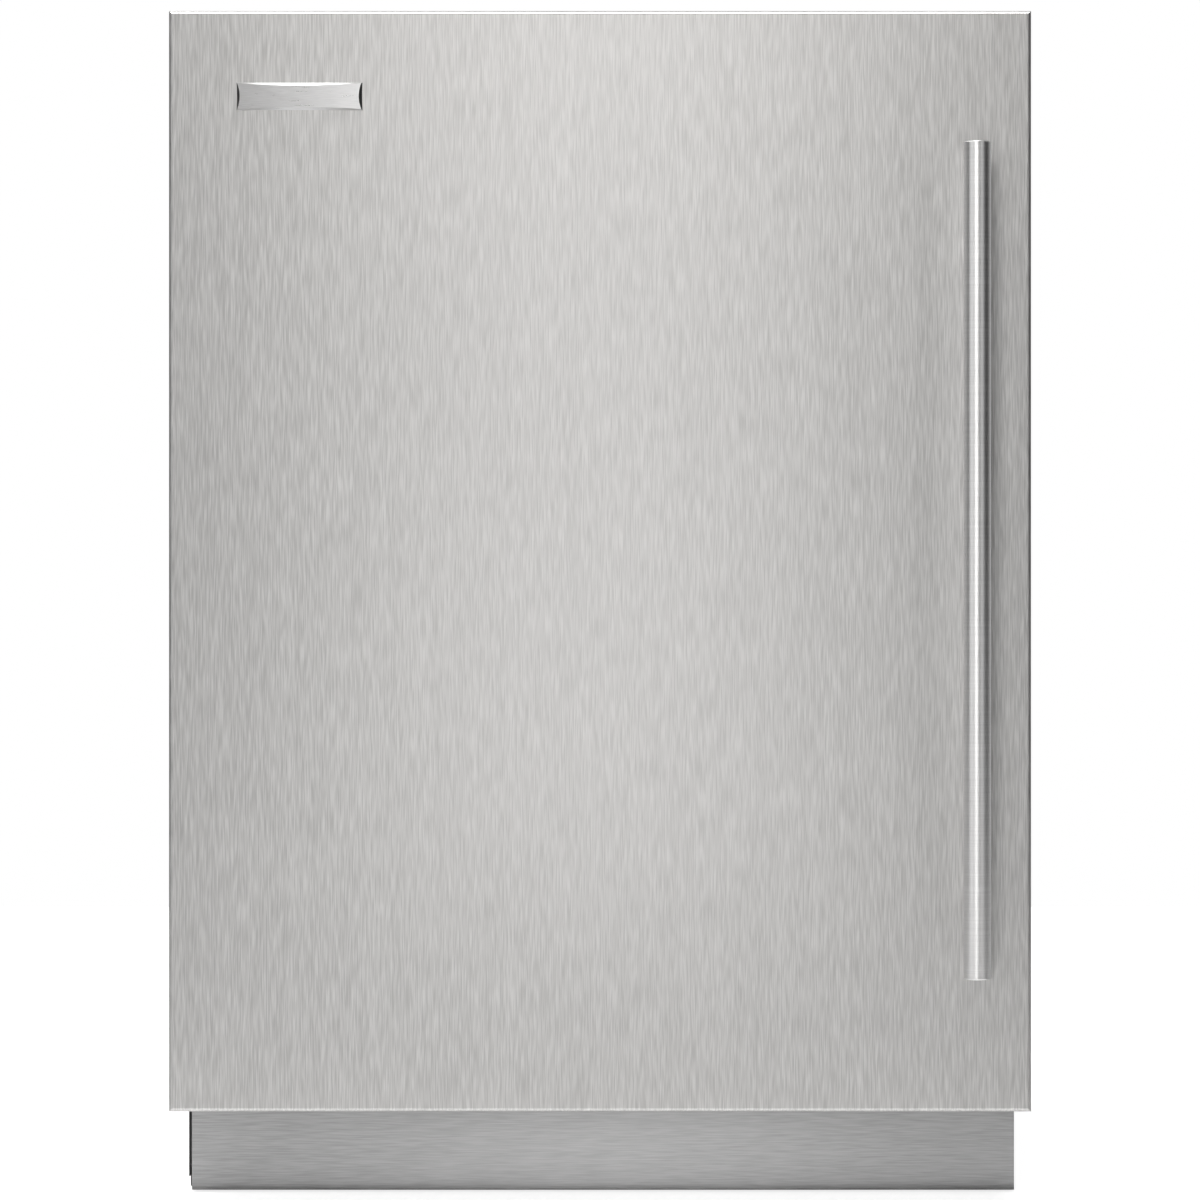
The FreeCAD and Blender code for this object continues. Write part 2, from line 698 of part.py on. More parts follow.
def make_base():
    """Folded rails under the cabinet with the legs' weld nuts, and the compressor's tray."""
    inner = f"({INNER_X} - rail_w)"
    cross_front, cross_back = f"{FACE} + cross_y", f"{FACE} + cross_y + cross_d"
    rails = []
    for name, sign, inward, leg in (("left", "-", "+", LEG_PLACES[2]), ("right", "", "-", LEG_PLACES[3])):
        section = channel(f"{sign}{INNER_X}", f"{sign}{inner}", inward, "deck_z")
        rail = prism(f"rail_{name}", "XZ", cross_back, f"{BACK} - 4", section)
        rails.append(on_nuts(f"side_{name}", rail, [leg]))
    node(group("side_rails", *rails), "base_side_rails")

    section = channel(cross_front, cross_back, "+", "cross_top")
    cross = prism("cross_front", "YZ", f"-{INNER_X}", INNER_X, section)
    node(on_nuts("cross", cross, LEG_PLACES[:2]), "base_cross_rail")

    tray = new_body("compressor_tray")
    front, rear = "step_y - 4", f"{BACK} - back_t"
    t = "rail_t"
    profile = [
        (front, "rail_z"),
        (rear, "rail_z"),
        (rear, "tray_back"),
        (f"{rear} - {t}", "tray_back"),
        (f"{rear} - {t}", f"rail_z + {t}"),
        (f"{front} + {t}", f"rail_z + {t}"),
        (f"{front} + {t}", "tray_front"),
        (front, "tray_front"),
    ]
    pad(tray, "YZ", f"-{inner}", inner, profile)
    pocket(tray, "XZ", f"{rear} - {t} - 1", rear, *screw_holes(COVER_SCREWS[:3]))
    node(tray)


def make_kick_plate():
    """The sheet across the toe space, folded back at top and bottom, on three clips."""
    body = new_body("kick_plate")
    front = f"{FACE} + kick_back"
    skin = "kick_t"
    profile = [
        (front, "kick_z"),
        (front, "kick_top"),
        (f"{front} + kick_lip", "kick_top"),
        (f"{front} + kick_lip", f"kick_top - {skin}"),
        (f"{front} + {skin}", f"kick_top - {skin}"),
        (f"{front} + {skin}", f"kick_z + {skin}"),
        (f"{front} + kick_foot", f"kick_z + {skin}"),
        (f"{front} + kick_foot", "kick_z"),
    ]
    pad(body, "YZ", f"kick_reveal - {CASE_X}", CASE_X, profile)
    ease(body, "Fillet", "1", lambda e, box: runs(e, "x") and lies(e, "Y", box.YMin))
    clips = [
        rect(f"{x} - clip_w / 2", f"{x} + clip_w / 2", "kick_z + 22", "kick_top - 10")
        for x in CLIP_PLACES
    ]
    pad(body, "XZ", f"{front} + {skin}", f"{FACE} + cross_y", *clips)
    end = rect(f"{INNER_X} - 0.5", f"{CASE_X} + 1", "0", "deck_z")
    pocket(body, "XZ", f"{front} + {skin}", f"{front} + kick_foot + 2", end)
    return node(body)


def make_leg(name, x, y):
    """A levelling leg: foot, hexagon for the spanner, and threaded rod."""
    body = turned(
        name,
        [
            ("0", "0"),
            ("foot_r - 2", "0"),
            ("foot_r", "2"),
            ("foot_r", "foot_h - 3"),
            ("foot_r - 6", "foot_h"),
            ("0", "foot_h"),
        ],
    )
    pad(body, "XY", "foot_h", "rail_z - 0.3", hexagon("0", "0", "nut_w"))
    pad(body, "XY", "foot_h", "leg_top", ("0", "0", "leg_rod / 2"))
    ease(body, "Chamfer", "1", lambda e, box: lies(e, "Z", box.ZMax))
    return node(place(body, x, y, "0"))


# ---- Hinges ----------------------------------------------------------------------------------


def make_hinge_plate(name, low, high, length):
    """A hinge plate: an eye round the pin, and an arm that runs back over the cabinet."""
    body = new_body(name)
    eye = "pin_back - 2"
    pad(body, "XY", low, high, (PIN_X, PIN_Y, eye))
    arm = [
        (f"{PIN_X} - 3", PIN_Y),
        (f"{PIN_X} + {eye} - 1", f"{PIN_Y} - 2"),
        (f"{PIN_X} + plate_w", f"{FACE} + 4"),
        (f"{PIN_X} + plate_w", f"{PIN_Y} + {length}"),
        (f"{PIN_X} - 3", f"{PIN_Y} + {length}"),
    ]
    pad(body, "XY", low, high, arm)
    pocket(body, "XY", f"{low} - 1", f"{high} + 1", (PIN_X, PIN_Y, "pin_d / 2 + fit"))
    return body


def make_hinges():
    """Two hinge plates with their pins on the cabinet, and two flanged bushes in the door.

    Returns the top plate's screws.
    """
    top = make_hinge_plate("top_hinge_plate", "case_top", "case_top + plate_t", "plate_len")
    sinks = [(x, y, "4.6") for x, y in HINGE_SCREWS]
    pocket(top, "XY", "case_top - 1", "case_top + plate_t + 1", *sinks)
    screws = [hinge_screw(f"hinge_screw_{k}", x, y) for k, (x, y) in enumerate(HINGE_SCREWS)]
    node(top)

    low = "cross_top"
    bottom = make_hinge_plate("bottom_hinge_plate", low, f"{low} + bracket_t", "bracket_len")
    node(bottom)
    pins = []
    for name, start, end in (
        ("top_pin", "door_top - pin_reach", "case_top + plate_t"),
        ("bottom_pin", low, "door_z + pin_reach"),
    ):
        pin = prism(name, "XY", start, end, (PIN_X, PIN_Y, "pin_d / 2"))
        ease(pin, "Chamfer", "1", lambda e, box: isinstance(e.Curve, Part.Circle))
        pins.append(pin)
    node(group("pins", *pins), "hinge_pins")
    bush = [
        ("pin_d / 2 + fit", "0"),
        ("bush_rim", "0"),
        ("bush_rim", "bush_rim_t"),
        (BUSH_R, "bush_rim_t"),
        (BUSH_R, "bush_len"),
        ("pin_d / 2 + fit", "bush_len"),
    ]
    upper = [(radius, f"-({height})") for radius, height in bush]
    lower = place(turned("bush_low", bush), PIN_X, PIN_Y, "door_z - bush_rim_t")
    raised = place(turned("bush_high", upper), PIN_X, PIN_Y, "door_top + bush_rim_t")
    node(group("bushes", lower, raised), "hinge_bushes")
    return screws


def hinge_screw(name, x, y):
    """A countersunk screw, flush with the top hinge plate."""
    body = turned(
        name,
        [
            ("0", "0"),
            ("4.5", "0"),
            ("4.5", "-0.4"),
            ("hinge_screw_r", "-3"),
            ("hinge_screw_r", "-hinge_screw_len"),
            ("0", "-hinge_screw_len"),
        ],
    )
    pocket(body, "XY", "-1.6", "0", hexagon("0", "0", "3.6"))
    return place(body, x, y, "case_top + plate_t")


# ---- Inside the cabinet ----------------------------------------------------------------------


def make_shelves():
    """Three glass shelves, each in a moulded frame that rests on a pair of ribs."""
    frames, panes = [], []
    for k, level in enumerate((4, 6, 9)):
        low = f"rib_first + rib_pitch * {level}"
        rim = new_body(f"shelf_rim_{k}")
        outer = rect("-shelf_w / 2", "shelf_w / 2", "shelf_front", "shelf_back")
        inset = "shelf_rim"
        opening = rect(
            f"{inset} - shelf_w / 2",
            f"shelf_w / 2 - {inset}",
            f"shelf_front + {inset}",
            f"shelf_back - {inset}",
        )
        pad(rim, "XY", low, f"{low} + shelf_t", outer, opening)
        edge = "shelf_rim / 2"
        seat = rect(
            f"{edge} - shelf_w / 2",
            f"shelf_w / 2 - {edge}",
            f"shelf_front + {edge}",
            f"shelf_back - {edge}",
        )
        top = f"{low} + shelf_t"
        pocket(rim, "XY", f"{top} - glass_t - 0.5", top, seat)
        ease(rim, "Fillet", "3", lambda e, box: runs(e, "z") and on_outside(e, box))
        ease(rim, "Fillet", "1.5", front_lip)
        frames.append(rim)
        pane = prism(f"pane_{k}", "XY", f"{top} - glass_t - 0.5", f"{top} - 0.5", seat)
        panes.append(pane)
    node(group("frames", *frames), "shelf_frames")
    node(group("panes", *panes), "shelf_glass")


def on_outside(edge, box):
    """Whether an edge is at a corner of the outside, seen from above."""
    at = edge.CenterOfMass
    side = min(abs(at.x - box.XMin), abs(at.x - box.XMax))
    end = min(abs(at.y - box.YMin), abs(at.y - box.YMax))
    return side < 0.1 and end < 0.1


def front_lip(edge, box):
    """The long edges of a shelf frame's front."""
    return runs(edge, "x") and lies(edge, "Y", box.YMin)


def make_duct():
    """The air duct cover on the back wall, open below, with the fan's grille in front of it."""
    body = new_body("duct_cover")
    half = "(duct_w / 2)"
    pad(body, "XZ", "duct_y", "cavity_back", rect(f"-{half}", half, "duct_z", "duct_top"))
    ease(body, "Fillet", "10", lambda e, box: runs(e, "y"))
    ease(body, "Fillet", "5", lambda e, box: lies(e, "Y", box.YMin))
    skin = "duct_skin"
    inside = rect(f"{skin} - {half}", f"{half} - {skin}", "duct_z - 1", f"duct_top - {skin}")
    pocket(body, "XZ", "duct_y + duct_front", "cavity_back", inside)
    pocket(body, "XZ", "duct_y - 1", "duct_y + duct_front + 1", ("0", "fan_z", FAN_HOLE))
    vents = [
        rect(f"{x} - vent_w / 2", f"{x} + vent_w / 2", "vent_z", "vent_z + vent_h")
        for x in VENT_PLACES
    ]
    row = pocket(body, "XZ", "duct_y - 1", "duct_y + duct_front + 1", *vents)
    pattern(body, row, "Z", "vent_span", VENTS)
    node(body, "air_duct_cover")

    grille = new_body("grille")
    front = "duct_y - grille_t"
    rings = [("0", "fan_z", f"{FAN_HOLE} + {r}") for r in (6, -4)]
    pad(grille, "XZ", front, "duct_y", *rings)
    for angle in range(0, 180, 45):
        pad(grille, "XZ", front, "duct_y - 1", spoke(angle, GRILLE_REACH, 1.2))
    for radius in (12, 22, 32):
        ring = [("0", "fan_z", str(r)) for r in (radius + 1.5, radius)]
        pad(grille, "XZ", front, "duct_y - 1", *ring)
    node(grille, "evaporator_fan_grille")


def spoke(angle, reach, half):
    """A thin bar through the fan's axis at an angle, as corners on the XZ plane."""
    c, s = math.cos(math.radians(angle)), math.sin(math.radians(angle))
    ends = ((reach, half), (-reach, half), (-reach, -half), (reach, -half))
    return [(f"{u * c - v * s:.4f}", f"fan_z + {u * s + v * c:.4f}") for u, v in ends]


def make_fan(name, x, y, z, hub, tip, depth, blades):
    """A fan rotor on its own Z axis: a hub with twisted blades, laid along Y."""
    body = new_body(name)
    pad(body, "XY", "0", depth, ("0", "0", hub))
    ease(body, "Fillet", "2", lambda e, box: isinstance(e.Curve, Part.Circle))
    loft = body.newObject("PartDesign::AdditiveLoft", name + "_blade")
    sections = []
    for place_along, chord, pitch in ((f"{hub} - 2", 0.8, 50), (tip, 1.15, 28)):
        sections.append(new_sketch(body, "YZ", place_along, [blade_section(depth, chord, pitch)]))
    loft.Profile = sections[0]
    loft.Sections = sections[1:]
    body.Tip = loft
    doc.recompute()
    ring = body.newObject("PartDesign::PolarPattern", name + "_ring")
    ring.Originals = [loft]
    spin = next(f for f in body.Origin.OriginFeatures if f.Role == "Z_Axis")
    ring.Axis = (spin, [""])
    ring.Angle = 360
    ring.Occurrences = blades
    body.Tip = ring
    pocket(body, "XY", f"{depth} - 9", depth, ("0", "0", "2 + fit"))
    return node(place(body, x, y, z, "Y"))


def blade_section(depth, chord, pitch):
    """A blade's thin section, turned by its pitch about the middle of the hub's depth."""
    c, s = math.cos(math.radians(pitch)), math.sin(math.radians(pitch))
    half_chord = f"{depth} * {chord / 2}"
    half_skin = "0.6"
    corners = []
    for u, v in ((1, 1), (-1, 1), (-1, -1), (1, -1)):
        across = f"({half_chord}) * {u * c:.4f} + {half_skin} * {-v * s:.4f}"
        along = f"({depth}) / 2 + ({half_chord}) * {u * s:.4f} + {half_skin} * {v * c:.4f}"
        corners.append((across, along))
    return corners


def make_coil(name, x0, x1, y, z0, rows, pitch, fin_d, tube_r, fins):
    """A finned coil: plates pressed on a serpentine of tubes that runs along X."""
    straights, bends = [], []
    for row in range(rows):
        z = f"{z0} + {pitch} * {row}"
        straights.append(rod(f"{name}_run_{row}", "X", x0, y, z, tube_r, f"({x1}) - ({x0})"))
    for row in range(rows - 1):
        bend = doc.addObject("Part::Torus", f"{name}_bend_{row}")
        bind(bend, "Radius1", f"({pitch}) / 2")
        bind(bend, "Radius2", tube_r)
        bend.Angle3 = 180
        right = row % 2 == 1
        quarter = FreeCAD.Rotation(V(1, 0, 0), 90)
        facing = FreeCAD.Rotation(V(0, 1, 0), 90 if right else -90)
        place(bend, x1 if right else x0, y, f"{z0} + {pitch} * {row + 0.5}")
        bend.Placement.Rotation = facing.multiply(quarter)
        bends.append(bend)
    serpentine = fuse(name + "_tubes", *straights, *bends)
    body = new_body(name + "_fins")
    low, high = f"{z0} - {pitch} / 2", f"{z0} + {pitch} * {rows - 0.5}"
    holes = [(y, f"{z0} + {pitch} * {row}", f"{tube_r} + fit") for row in range(rows)]
    plate = rect(f"{y} - ({fin_d}) / 2", f"{y} + ({fin_d}) / 2", low, high)
    first = f"{x0} + 4"
    fin = pad(body, "YZ", first, f"{first} + 0.5", plate, *holes)
    doc.recompute()
    pattern(body, fin, "X", f"({x1}) - ({x0}) - 8.5", str(fins))
    return node(group(name, serpentine, body))


def make_console():
    """The control console under the ceiling: housing, display, three keys and the lamp's lens."""
    body = new_body("control_console")
    half = "(console_w / 2)"
    low = "(cavity_top - console_h)"
    front, rear = "console_y", "(console_y + console_d)"
    pad(body, "XZ", front, rear, rect(f"-{half}", half, low, "cavity_top"))
    ease(body, "Fillet", "6", lambda e, box: runs(e, "y") and lies(e, "Z", box.ZMin))
    window = around("0", f"{low} + 15", "window_w / 2", "window_h / 2")
    pocket(body, "XZ", front, f"{front} + 2", window)
    bores = [(str(x), f"{low} + 15", "key_r + 0.3") for x in KEY_PLACES]
    pocket(body, "XZ", front, f"{front} + 8", *bores)
    lens = rect("-lens_w / 2", "lens_w / 2", f"{front} + 14", f"{rear} - 14")
    pocket(body, "XY", low, f"{low} + 3", lens)
    node(body)
    glass = prism("display", "XZ", front, f"{front} + 2", window)
    node(glass, "display_window")
    lamp = prism("lamp_lens", "XY", f"{low} - 1.5", f"{low} + 3", lens)
    ease(lamp, "Fillet", "1.2", lambda e, box: lies(e, "Z", box.ZMin))
    node(lamp, "lamp_lens")
    for name, x in zip(("key_power", "key_colder", "key_warmer"), KEY_PLACES):
        outline = (str(x), f"{low} + 15", "key_r")
        key = prism(name, "XZ", f"{front} - key_proud", f"{front} + 6", outline)
        ease(key, "Fillet", "0.8", lambda e, box: lies(e, "Y", box.YMin))
        node(key)


# ---- Machine compartment ---------------------------------------------------------------------


def make_compressor():
    """The sealed compressor on its feet plate and rubber mounts, with its relay cover.

    Returns the bolts through the mounts.
    """
    body = new_body("compressor")
    centre = (COMP_X, COMP_Y)
    base = "rail_z + rail_t + mount_h"
    feet = around(COMP_X, COMP_Y, "comp_feet_w / 2", "comp_feet_d / 2")
    pad(body, "XY", f"{base} + 4", f"{base} + comp_h", (*centre, "comp_r"))
    ease(body, "Fillet", "34", lambda e, box: isinstance(e.Curve, Part.Circle))
    pad(body, "XY", f"{base} + 78", f"{base} + 83", (*centre, "comp_r + 4"))
    pad(body, "XY", base, f"{base} + 10", feet)
    mounts = [(f"{COMP_X} + {dx}", f"{COMP_Y} + {dy}") for dx in (-84, 84) for dy in (-50, 50)]
    holes = [(x, y, "7") for x, y in mounts]
    pocket(body, "XY", base, f"{base} + 10", *holes)
    node(body)
    rubbers, bolts = [], []
    rubber = [
        ("3.1", "0"),
        ("12", "0"),
        ("12", "6"),
        ("9", "8"),
        ("12", "10"),
        ("12", "mount_h"),
        ("6.8", "mount_h"),
        ("6.8", "mount_h + 10"),
        ("3.1", "mount_h + 10"),
    ]
    bolt = [
        ("0", "-0.5"),
        ("3", "-0.5"),
        ("3", "mount_h + 10.5"),
        ("8", "mount_h + 10.5"),
        ("8", "mount_h + 12"),
        ("5", "mount_h + 12"),
        ("5", "mount_h + 16"),
        ("0", "mount_h + 16"),
    ]
    for k, (x, y) in enumerate(mounts):
        rubbers.append(place(turned(f"rubber_{k}", rubber), x, y, "rail_z + rail_t"))
        bolts.append(place(turned(f"mount_bolt_{k}", bolt), x, y, "rail_z + rail_t + 0.5"))
    node(group("rubbers", *rubbers), "compressor_mounts")
    relay = new_body("relay_cover")
    side = rect(f"{COMP_X} - 104", f"{COMP_X} - 76", f"{COMP_Y} - 28", f"{COMP_Y} + 28")
    pad(relay, "XY", f"{base} + 24", f"{base} + 72", side)
    ease(relay, "Fillet", "5", lambda e, box: runs(e, "z") and lies(e, "X", box.XMin))
    node(relay, "compressor_relay_cover")
    return bolts


def make_condenser_fan():
    """The condenser's fan: a shroud on the coil, the motor on its bracket, and the rotor."""
    shroud = new_body("condenser_shroud")
    box = around(COND_X, "cond_fan_z", "shroud_w / 2", "82")
    start, end = f"{COND_Y} + 24", f"{COND_Y} + 36"
    pad(shroud, "XZ", start, end, box, (COND_X, "cond_fan_z", "70"))
    node(shroud)
    motor = new_body("condenser_fan_motor")
    pad(motor, "XZ", f"{COND_Y} + 66", f"{COND_Y} + 104", (COND_X, "cond_fan_z", "24"))
    ease(motor, "Fillet", "3", lambda e, box: isinstance(e.Curve, Part.Circle))
    pad(motor, "XZ", f"{COND_Y} + 46", f"{COND_Y} + 68", (COND_X, "cond_fan_z", "2"))
    strut = rect(f"{COND_X} - 6", f"{COND_X} + 6", "rail_z + rail_t", "cond_fan_z - 10")
    pad(motor, "XZ", f"{COND_Y} + 84", f"{COND_Y} + 87", strut)
    foot = rect(f"{COND_X} - 20", f"{COND_X} + 20", f"{COND_Y} + 76", f"{COND_Y} + 100")
    pad(motor, "XY", "rail_z + rail_t", "rail_z + rail_t + 2", foot)
    node(motor)
    rotor = ("18", "66", "20", 5)
    make_fan("condenser_fan_blades", COND_X, f"{COND_Y} + 34", "cond_fan_z", *rotor)


def make_evaporator_fan():
    """The evaporator fan's motor, held by a bridge across the duct, and its rotor."""
    body = new_body("evaporator_fan_motor")
    pad(body, "XZ", "duct_y + 32", "duct_y + 52", ("0", "fan_z", "19"))
    ease(body, "Fillet", "2", lambda e, box: isinstance(e.Curve, Part.Circle))
    pad(body, "XZ", "duct_y + 17", "duct_y + 34", ("0", "fan_z", "2"))
    bridge = rect("-70", "70", "fan_z - 7", "fan_z + 7")
    pad(body, "XZ", "duct_y + 52", "cavity_back", bridge)
    node(body)
    make_fan("evaporator_fan_blades", "0", "duct_y + 11", "fan_z", "14", "46", "14", 5)


def make_plumbing():
    """Filter drier and refrigerant lines, drain tube, and the tray for the melt water."""
    drier = turned(
        "drier",
        [
            ("0", "0"),
            ("3", "0"),
            ("3", "10"),
            ("10", "18"),
            ("10", "92"),
            ("3", "100"),
            ("3", "110"),
            ("0", "110"),
        ],
    )
    place(drier, DRIER_X, DRIER_Y, DRIER_Z)
    comp_x, comp_y, coil_y = float(COMP_X), float(COMP_Y), float(COND_Y)
    drier_x, drier_y, drier_z = float(DRIER_X), float(DRIER_Y), float(DRIER_Z)
    rise_x, rise_y = float(SUCTION_X), float(DRAIN_Y)
    shell_top = VALUE["rail_z"] + VALUE["rail_t"] + 166
    coil_end = float(COND_X) + 92
    ice_x, ice_y, ice_z = 190, VALUE["duct_y"] + 29, 400
    discharge = [
        (comp_x - 20, comp_y, shell_top),
        (comp_x - 20, comp_y, 206),
        (comp_x - 20, coil_y, 206),
        (coil_end, coil_y, 206),
    ]
    liquid = [
        (coil_end, coil_y, 76),
        (drier_x, coil_y, 76),
        (drier_x, drier_y, 76),
        (drier_x, drier_y, drier_z),
    ]
    capillary = [
        (drier_x, drier_y, drier_z + 110),
        (drier_x, drier_y, 218),
        (drier_x, 146, 218),
        (rise_x + 20, 146, 218),
        (rise_x + 20, rise_y, 218),
        (rise_x + 4, rise_y, 218),
    ]
    suction = [
        (comp_x + 20, comp_y, shell_top),
        (comp_x + 20, comp_y, 210),
        (rise_x, rise_y, 210),
        (rise_x, ice_y, ice_z),
        (ice_x, ice_y, ice_z),
    ]
    lines = doc.addObject("Part::Feature", "lines")
    lines.Shape = Part.makeCompound(
        [
            tube(discharge, [10, 10], 3),
            tube(liquid, [10, 8], 3),
            tube(capillary, [8, 8, 8, 8], 1.2),
            tube(suction, [10, 10, 10], float(SUCTION_R)),
        ]
    )
    node(group("plumbing", drier, lines), "refrigerant_lines")

    drain_low = "(melt_z + melt_h + 4)"
    drain = rod("drain", "Z", DRAIN_X, DRAIN_Y, drain_low, DRAIN_R, f"ledge_z - {drain_low}")
    bore = rod("drain_bore", "Z", DRAIN_X, DRAIN_Y, "250", "5.5", "120")
    node(cut("drain_cut", drain, bore), "drain_tube")

    tray = new_body("melt_tray")
    x0, x1 = f"{DRAIN_X} - 80", f"{DRAIN_X} + 60"
    pad(tray, "XY", "melt_z", "melt_z + melt_h", rect(x0, x1, "150", "300"))
    ease(tray, "Fillet", "10", lambda e, box: runs(e, "z"))
    inside = rect(f"{x0} + 2", f"{x1} - 2", "152", "298")
    pocket(tray, "XY", "melt_z + 2", "melt_z + melt_h", inside)
    node(tray, "melt_water_tray")


def make_power_inlet():
    """The appliance inlet in the rear cover: a flanged socket with three flat pins."""
    body = new_body("power_inlet")
    front = f"{BACK} - back_t"
    flange = around(INLET_X, INLET_Z, "(inlet_w / 2 - 0.2)", "(inlet_h / 2 - 0.2)")
    pad(body, "XZ", f"{BACK} - 26", BACK, flange)
    socket = [
        (f"{INLET_X} - 13", f"{INLET_Z} - 9"),
        (f"{INLET_X} + 13", f"{INLET_Z} - 9"),
        (f"{INLET_X} + 13", f"{INLET_Z} + 4"),
        (f"{INLET_X} + 8", f"{INLET_Z} + 9"),
        (f"{INLET_X} - 8", f"{INLET_Z} + 9"),
        (f"{INLET_X} - 13", f"{INLET_Z} + 4"),
    ]
    pocket(body, "XZ", f"{BACK} - 17", BACK, socket)
    pins = []
    for dx, dz in ((-7, -2), (7, -2), (0, 2)):
        pins.append(around(f"{INLET_X} + {dx}", f"{INLET_Z} + {dz}", "1", "2"))
    pad(body, "XZ", f"{BACK} - 18", f"{BACK} - 6", *pins)
    return node(body)


def make_screws(others):
    """The screws round the back panel and the rear cover, listed with the cabinet's others."""
    screws = list(others)
    for k, (x, z) in enumerate((*PANEL_SCREWS, *COVER_SCREWS)):
        head = screw(f"case_screw_{k}", x, f"{BACK} + screw_head", z, "Y", "2 * screw_r", "11")
        head.Placement.Rotation = FreeCAD.Rotation(V(1, 0, 0), 90)
        screws.append(head)
    node(group("screws", *screws), "cabinet_screws")


# ---- Door ------------------------------------------------------------------------------------


def make_panel():
    """The stainless door panel: a folded pan over a stiff core."""
    skin = new_body("door_panel_skin")
    outside = rect(f"-{PANEL_X}", PANEL_X, "panel_z", PANEL_TOP)
    pad(skin, "XZ", PANEL_FRONT, PANEL_BACK, outside)
    ease(skin, "Fillet", "panel_bend", lambda e, box: lies(e, "Y", box.YMin))
    t = "panel_skin_t"
    inside = rect(f"{t} - {PANEL_X}", f"{PANEL_X} - {t}", f"panel_z + {t}", f"{PANEL_TOP} - {t}")
    pocket(skin, "XZ", f"{PANEL_FRONT} + {t}", PANEL_BACK, inside)
    posts = [(HANDLE_X, z, "3.3") for z in POST_HEIGHTS]
    pocket(skin, "XZ", PANEL_FRONT, f"{PANEL_FRONT} + {t}", *posts)
    node(skin)
    core = new_body("door_panel_core")
    pad(core, "XZ", f"{PANEL_FRONT} + {t}", PANEL_BACK, inside)
    pocket(core, "XZ", f"{PANEL_FRONT} + {t}", PANEL_BACK, *posts)
    heads = [(HANDLE_X, z, "7") for z in POST_HEIGHTS]
    pocket(core, "XZ", f"{PANEL_BACK} - 5", PANEL_BACK, *heads)
    node(core)


def make_handle():
    """The tubular handle: tube, two end caps, two posts and the screws through the panel."""
    tube_body = new_body("handle_tube")
    top = f"{HANDLE_Z} + handle_len"
    cap = "1.6"
    outer = (HANDLE_X, HANDLE_Y, "handle_d / 2")
    bore = (HANDLE_X, HANDLE_Y, "handle_d / 2 - handle_wall")
    pad(tube_body, "XY", f"{HANDLE_Z} + {cap}", f"{top} - {cap}", outer, bore)
    node(tube_body)
    caps = []
    profile = [
        ("0", "0"),
        ("handle_d / 2 - 0.7", "0"),
        ("handle_d / 2", "0.7"),
        ("handle_d / 2", cap),
        ("handle_d / 2 - handle_wall - fit", cap),
        ("handle_d / 2 - handle_wall - fit", "9"),
        ("0", "9"),
    ]
    flipped = [(radius, f"-({height})") for radius, height in profile]
    caps.append(place(turned("cap_low", profile), HANDLE_X, HANDLE_Y, HANDLE_Z))
    caps.append(place(turned("cap_high", flipped), HANDLE_X, HANDLE_Y, top))
    node(group("caps", *caps), "handle_end_caps")
    posts, screws = [], []
    for k, z in enumerate(POST_HEIGHTS):
        reach = f"{PANEL_FRONT} - {HANDLE_Y}"
        stem = rod(f"post_stem_{k}", "Y", HANDLE_X, HANDLE_Y, z, "post_d / 2", reach)
        thread = rod(f"post_thread_{k}", "Y", HANDLE_X, f"{PANEL_FRONT} - 18", z, "3 + fit", "19")
        seat = rod(
            f"post_seat_{k}", "Z", HANDLE_X, HANDLE_Y, f"{z} - 20", "handle_d / 2", "40"
        )
        posts.append(cut(f"post_{k}", stem, thread, seat))
        bolt = turned(
            f"handle_screw_{k}",
            [("0", "0"), ("6", "0"), ("6", "4"), ("3", "4"), ("3", "30"), ("0", "30")],
        )
        pocket(bolt, "XY", "0", "2.5", hexagon("0", "0", "5"))
        place(bolt, HANDLE_X, f"{PANEL_BACK} - 1", z)
        bolt.Placement.Rotation = FreeCAD.Rotation(V(1, 0, 0), 90)
        screws.append(bolt)
    node(group("posts", *posts), "handle_posts")
    node(group("bolts", *screws), "handle_screws")


def bowed_wire(half_w, half_h, sag, x, y, z):
    """A rectangle seen along Y whose four sides sag towards its middle, as a wire."""
    corners = [(-half_w, -half_h), (half_w, -half_h), (half_w, half_h), (-half_w, half_h)]
    edges = []
    for (u0, v0), (u1, v1) in zip(corners, corners[1:] + corners[:1]):
        mid_u, mid_v = (u0 + u1) / 2, (v0 + v1) / 2
        inward = 1 - sag / math.hypot(mid_u, mid_v)
        places = [(u0, v0), (mid_u * inward, mid_v * inward), (u1, v1)]
        edges.append(Part.Arc(*(V(x + u, y, z + v) for u, v in places)).toShape())
    return Part.Wire(edges)


def make_badge():
    """A blank name plate: its face has hollow sides, and bevels run down to a nearly square foot."""
    size = VALUE
    half_w, half_h = size["badge_w"] / 2, size["badge_h"] / 2
    x = size["badge_left"] + half_w - size["panel_w"] / 2
    z = size["panel_z"] + size["panel_h"] - size["badge_drop"]
    back = size["handle_reach"] - size["total_d"] / 2
    foot = bowed_wire(half_w, half_h, size["badge_foot_sag"], x, back, z)
    edge = size["badge_bevel"]
    face = bowed_wire(half_w - edge, half_h - edge, size["badge_sag"], x, back - size["badge_t"], z)
    badge = doc.addObject("Part::Feature", "badge")
    badge.Shape = Part.makeLoft([foot, face], True, True)
    return node(badge, "badge_plate")


def dyke(name, shrink, start, end):
    """The door lining's raised rim as a ring with soft edges."""
    half = f"(dyke_x - {shrink})"
    low, high = f"(dyke_z + {shrink})", f"(dyke_top - {shrink})"
    body = prism(name, "XZ", start, end, *frame(half, low, high, f"dyke_w - 2 * {shrink}"))
    ease(body, "Fillet", f"14 - {shrink}", lambda e, box: runs(e, "y") and at_corner(e, box))
    ease(body, "Fillet", f"7 - {shrink}", lambda e, box: lies(e, "Y", box.YMax))
    return body


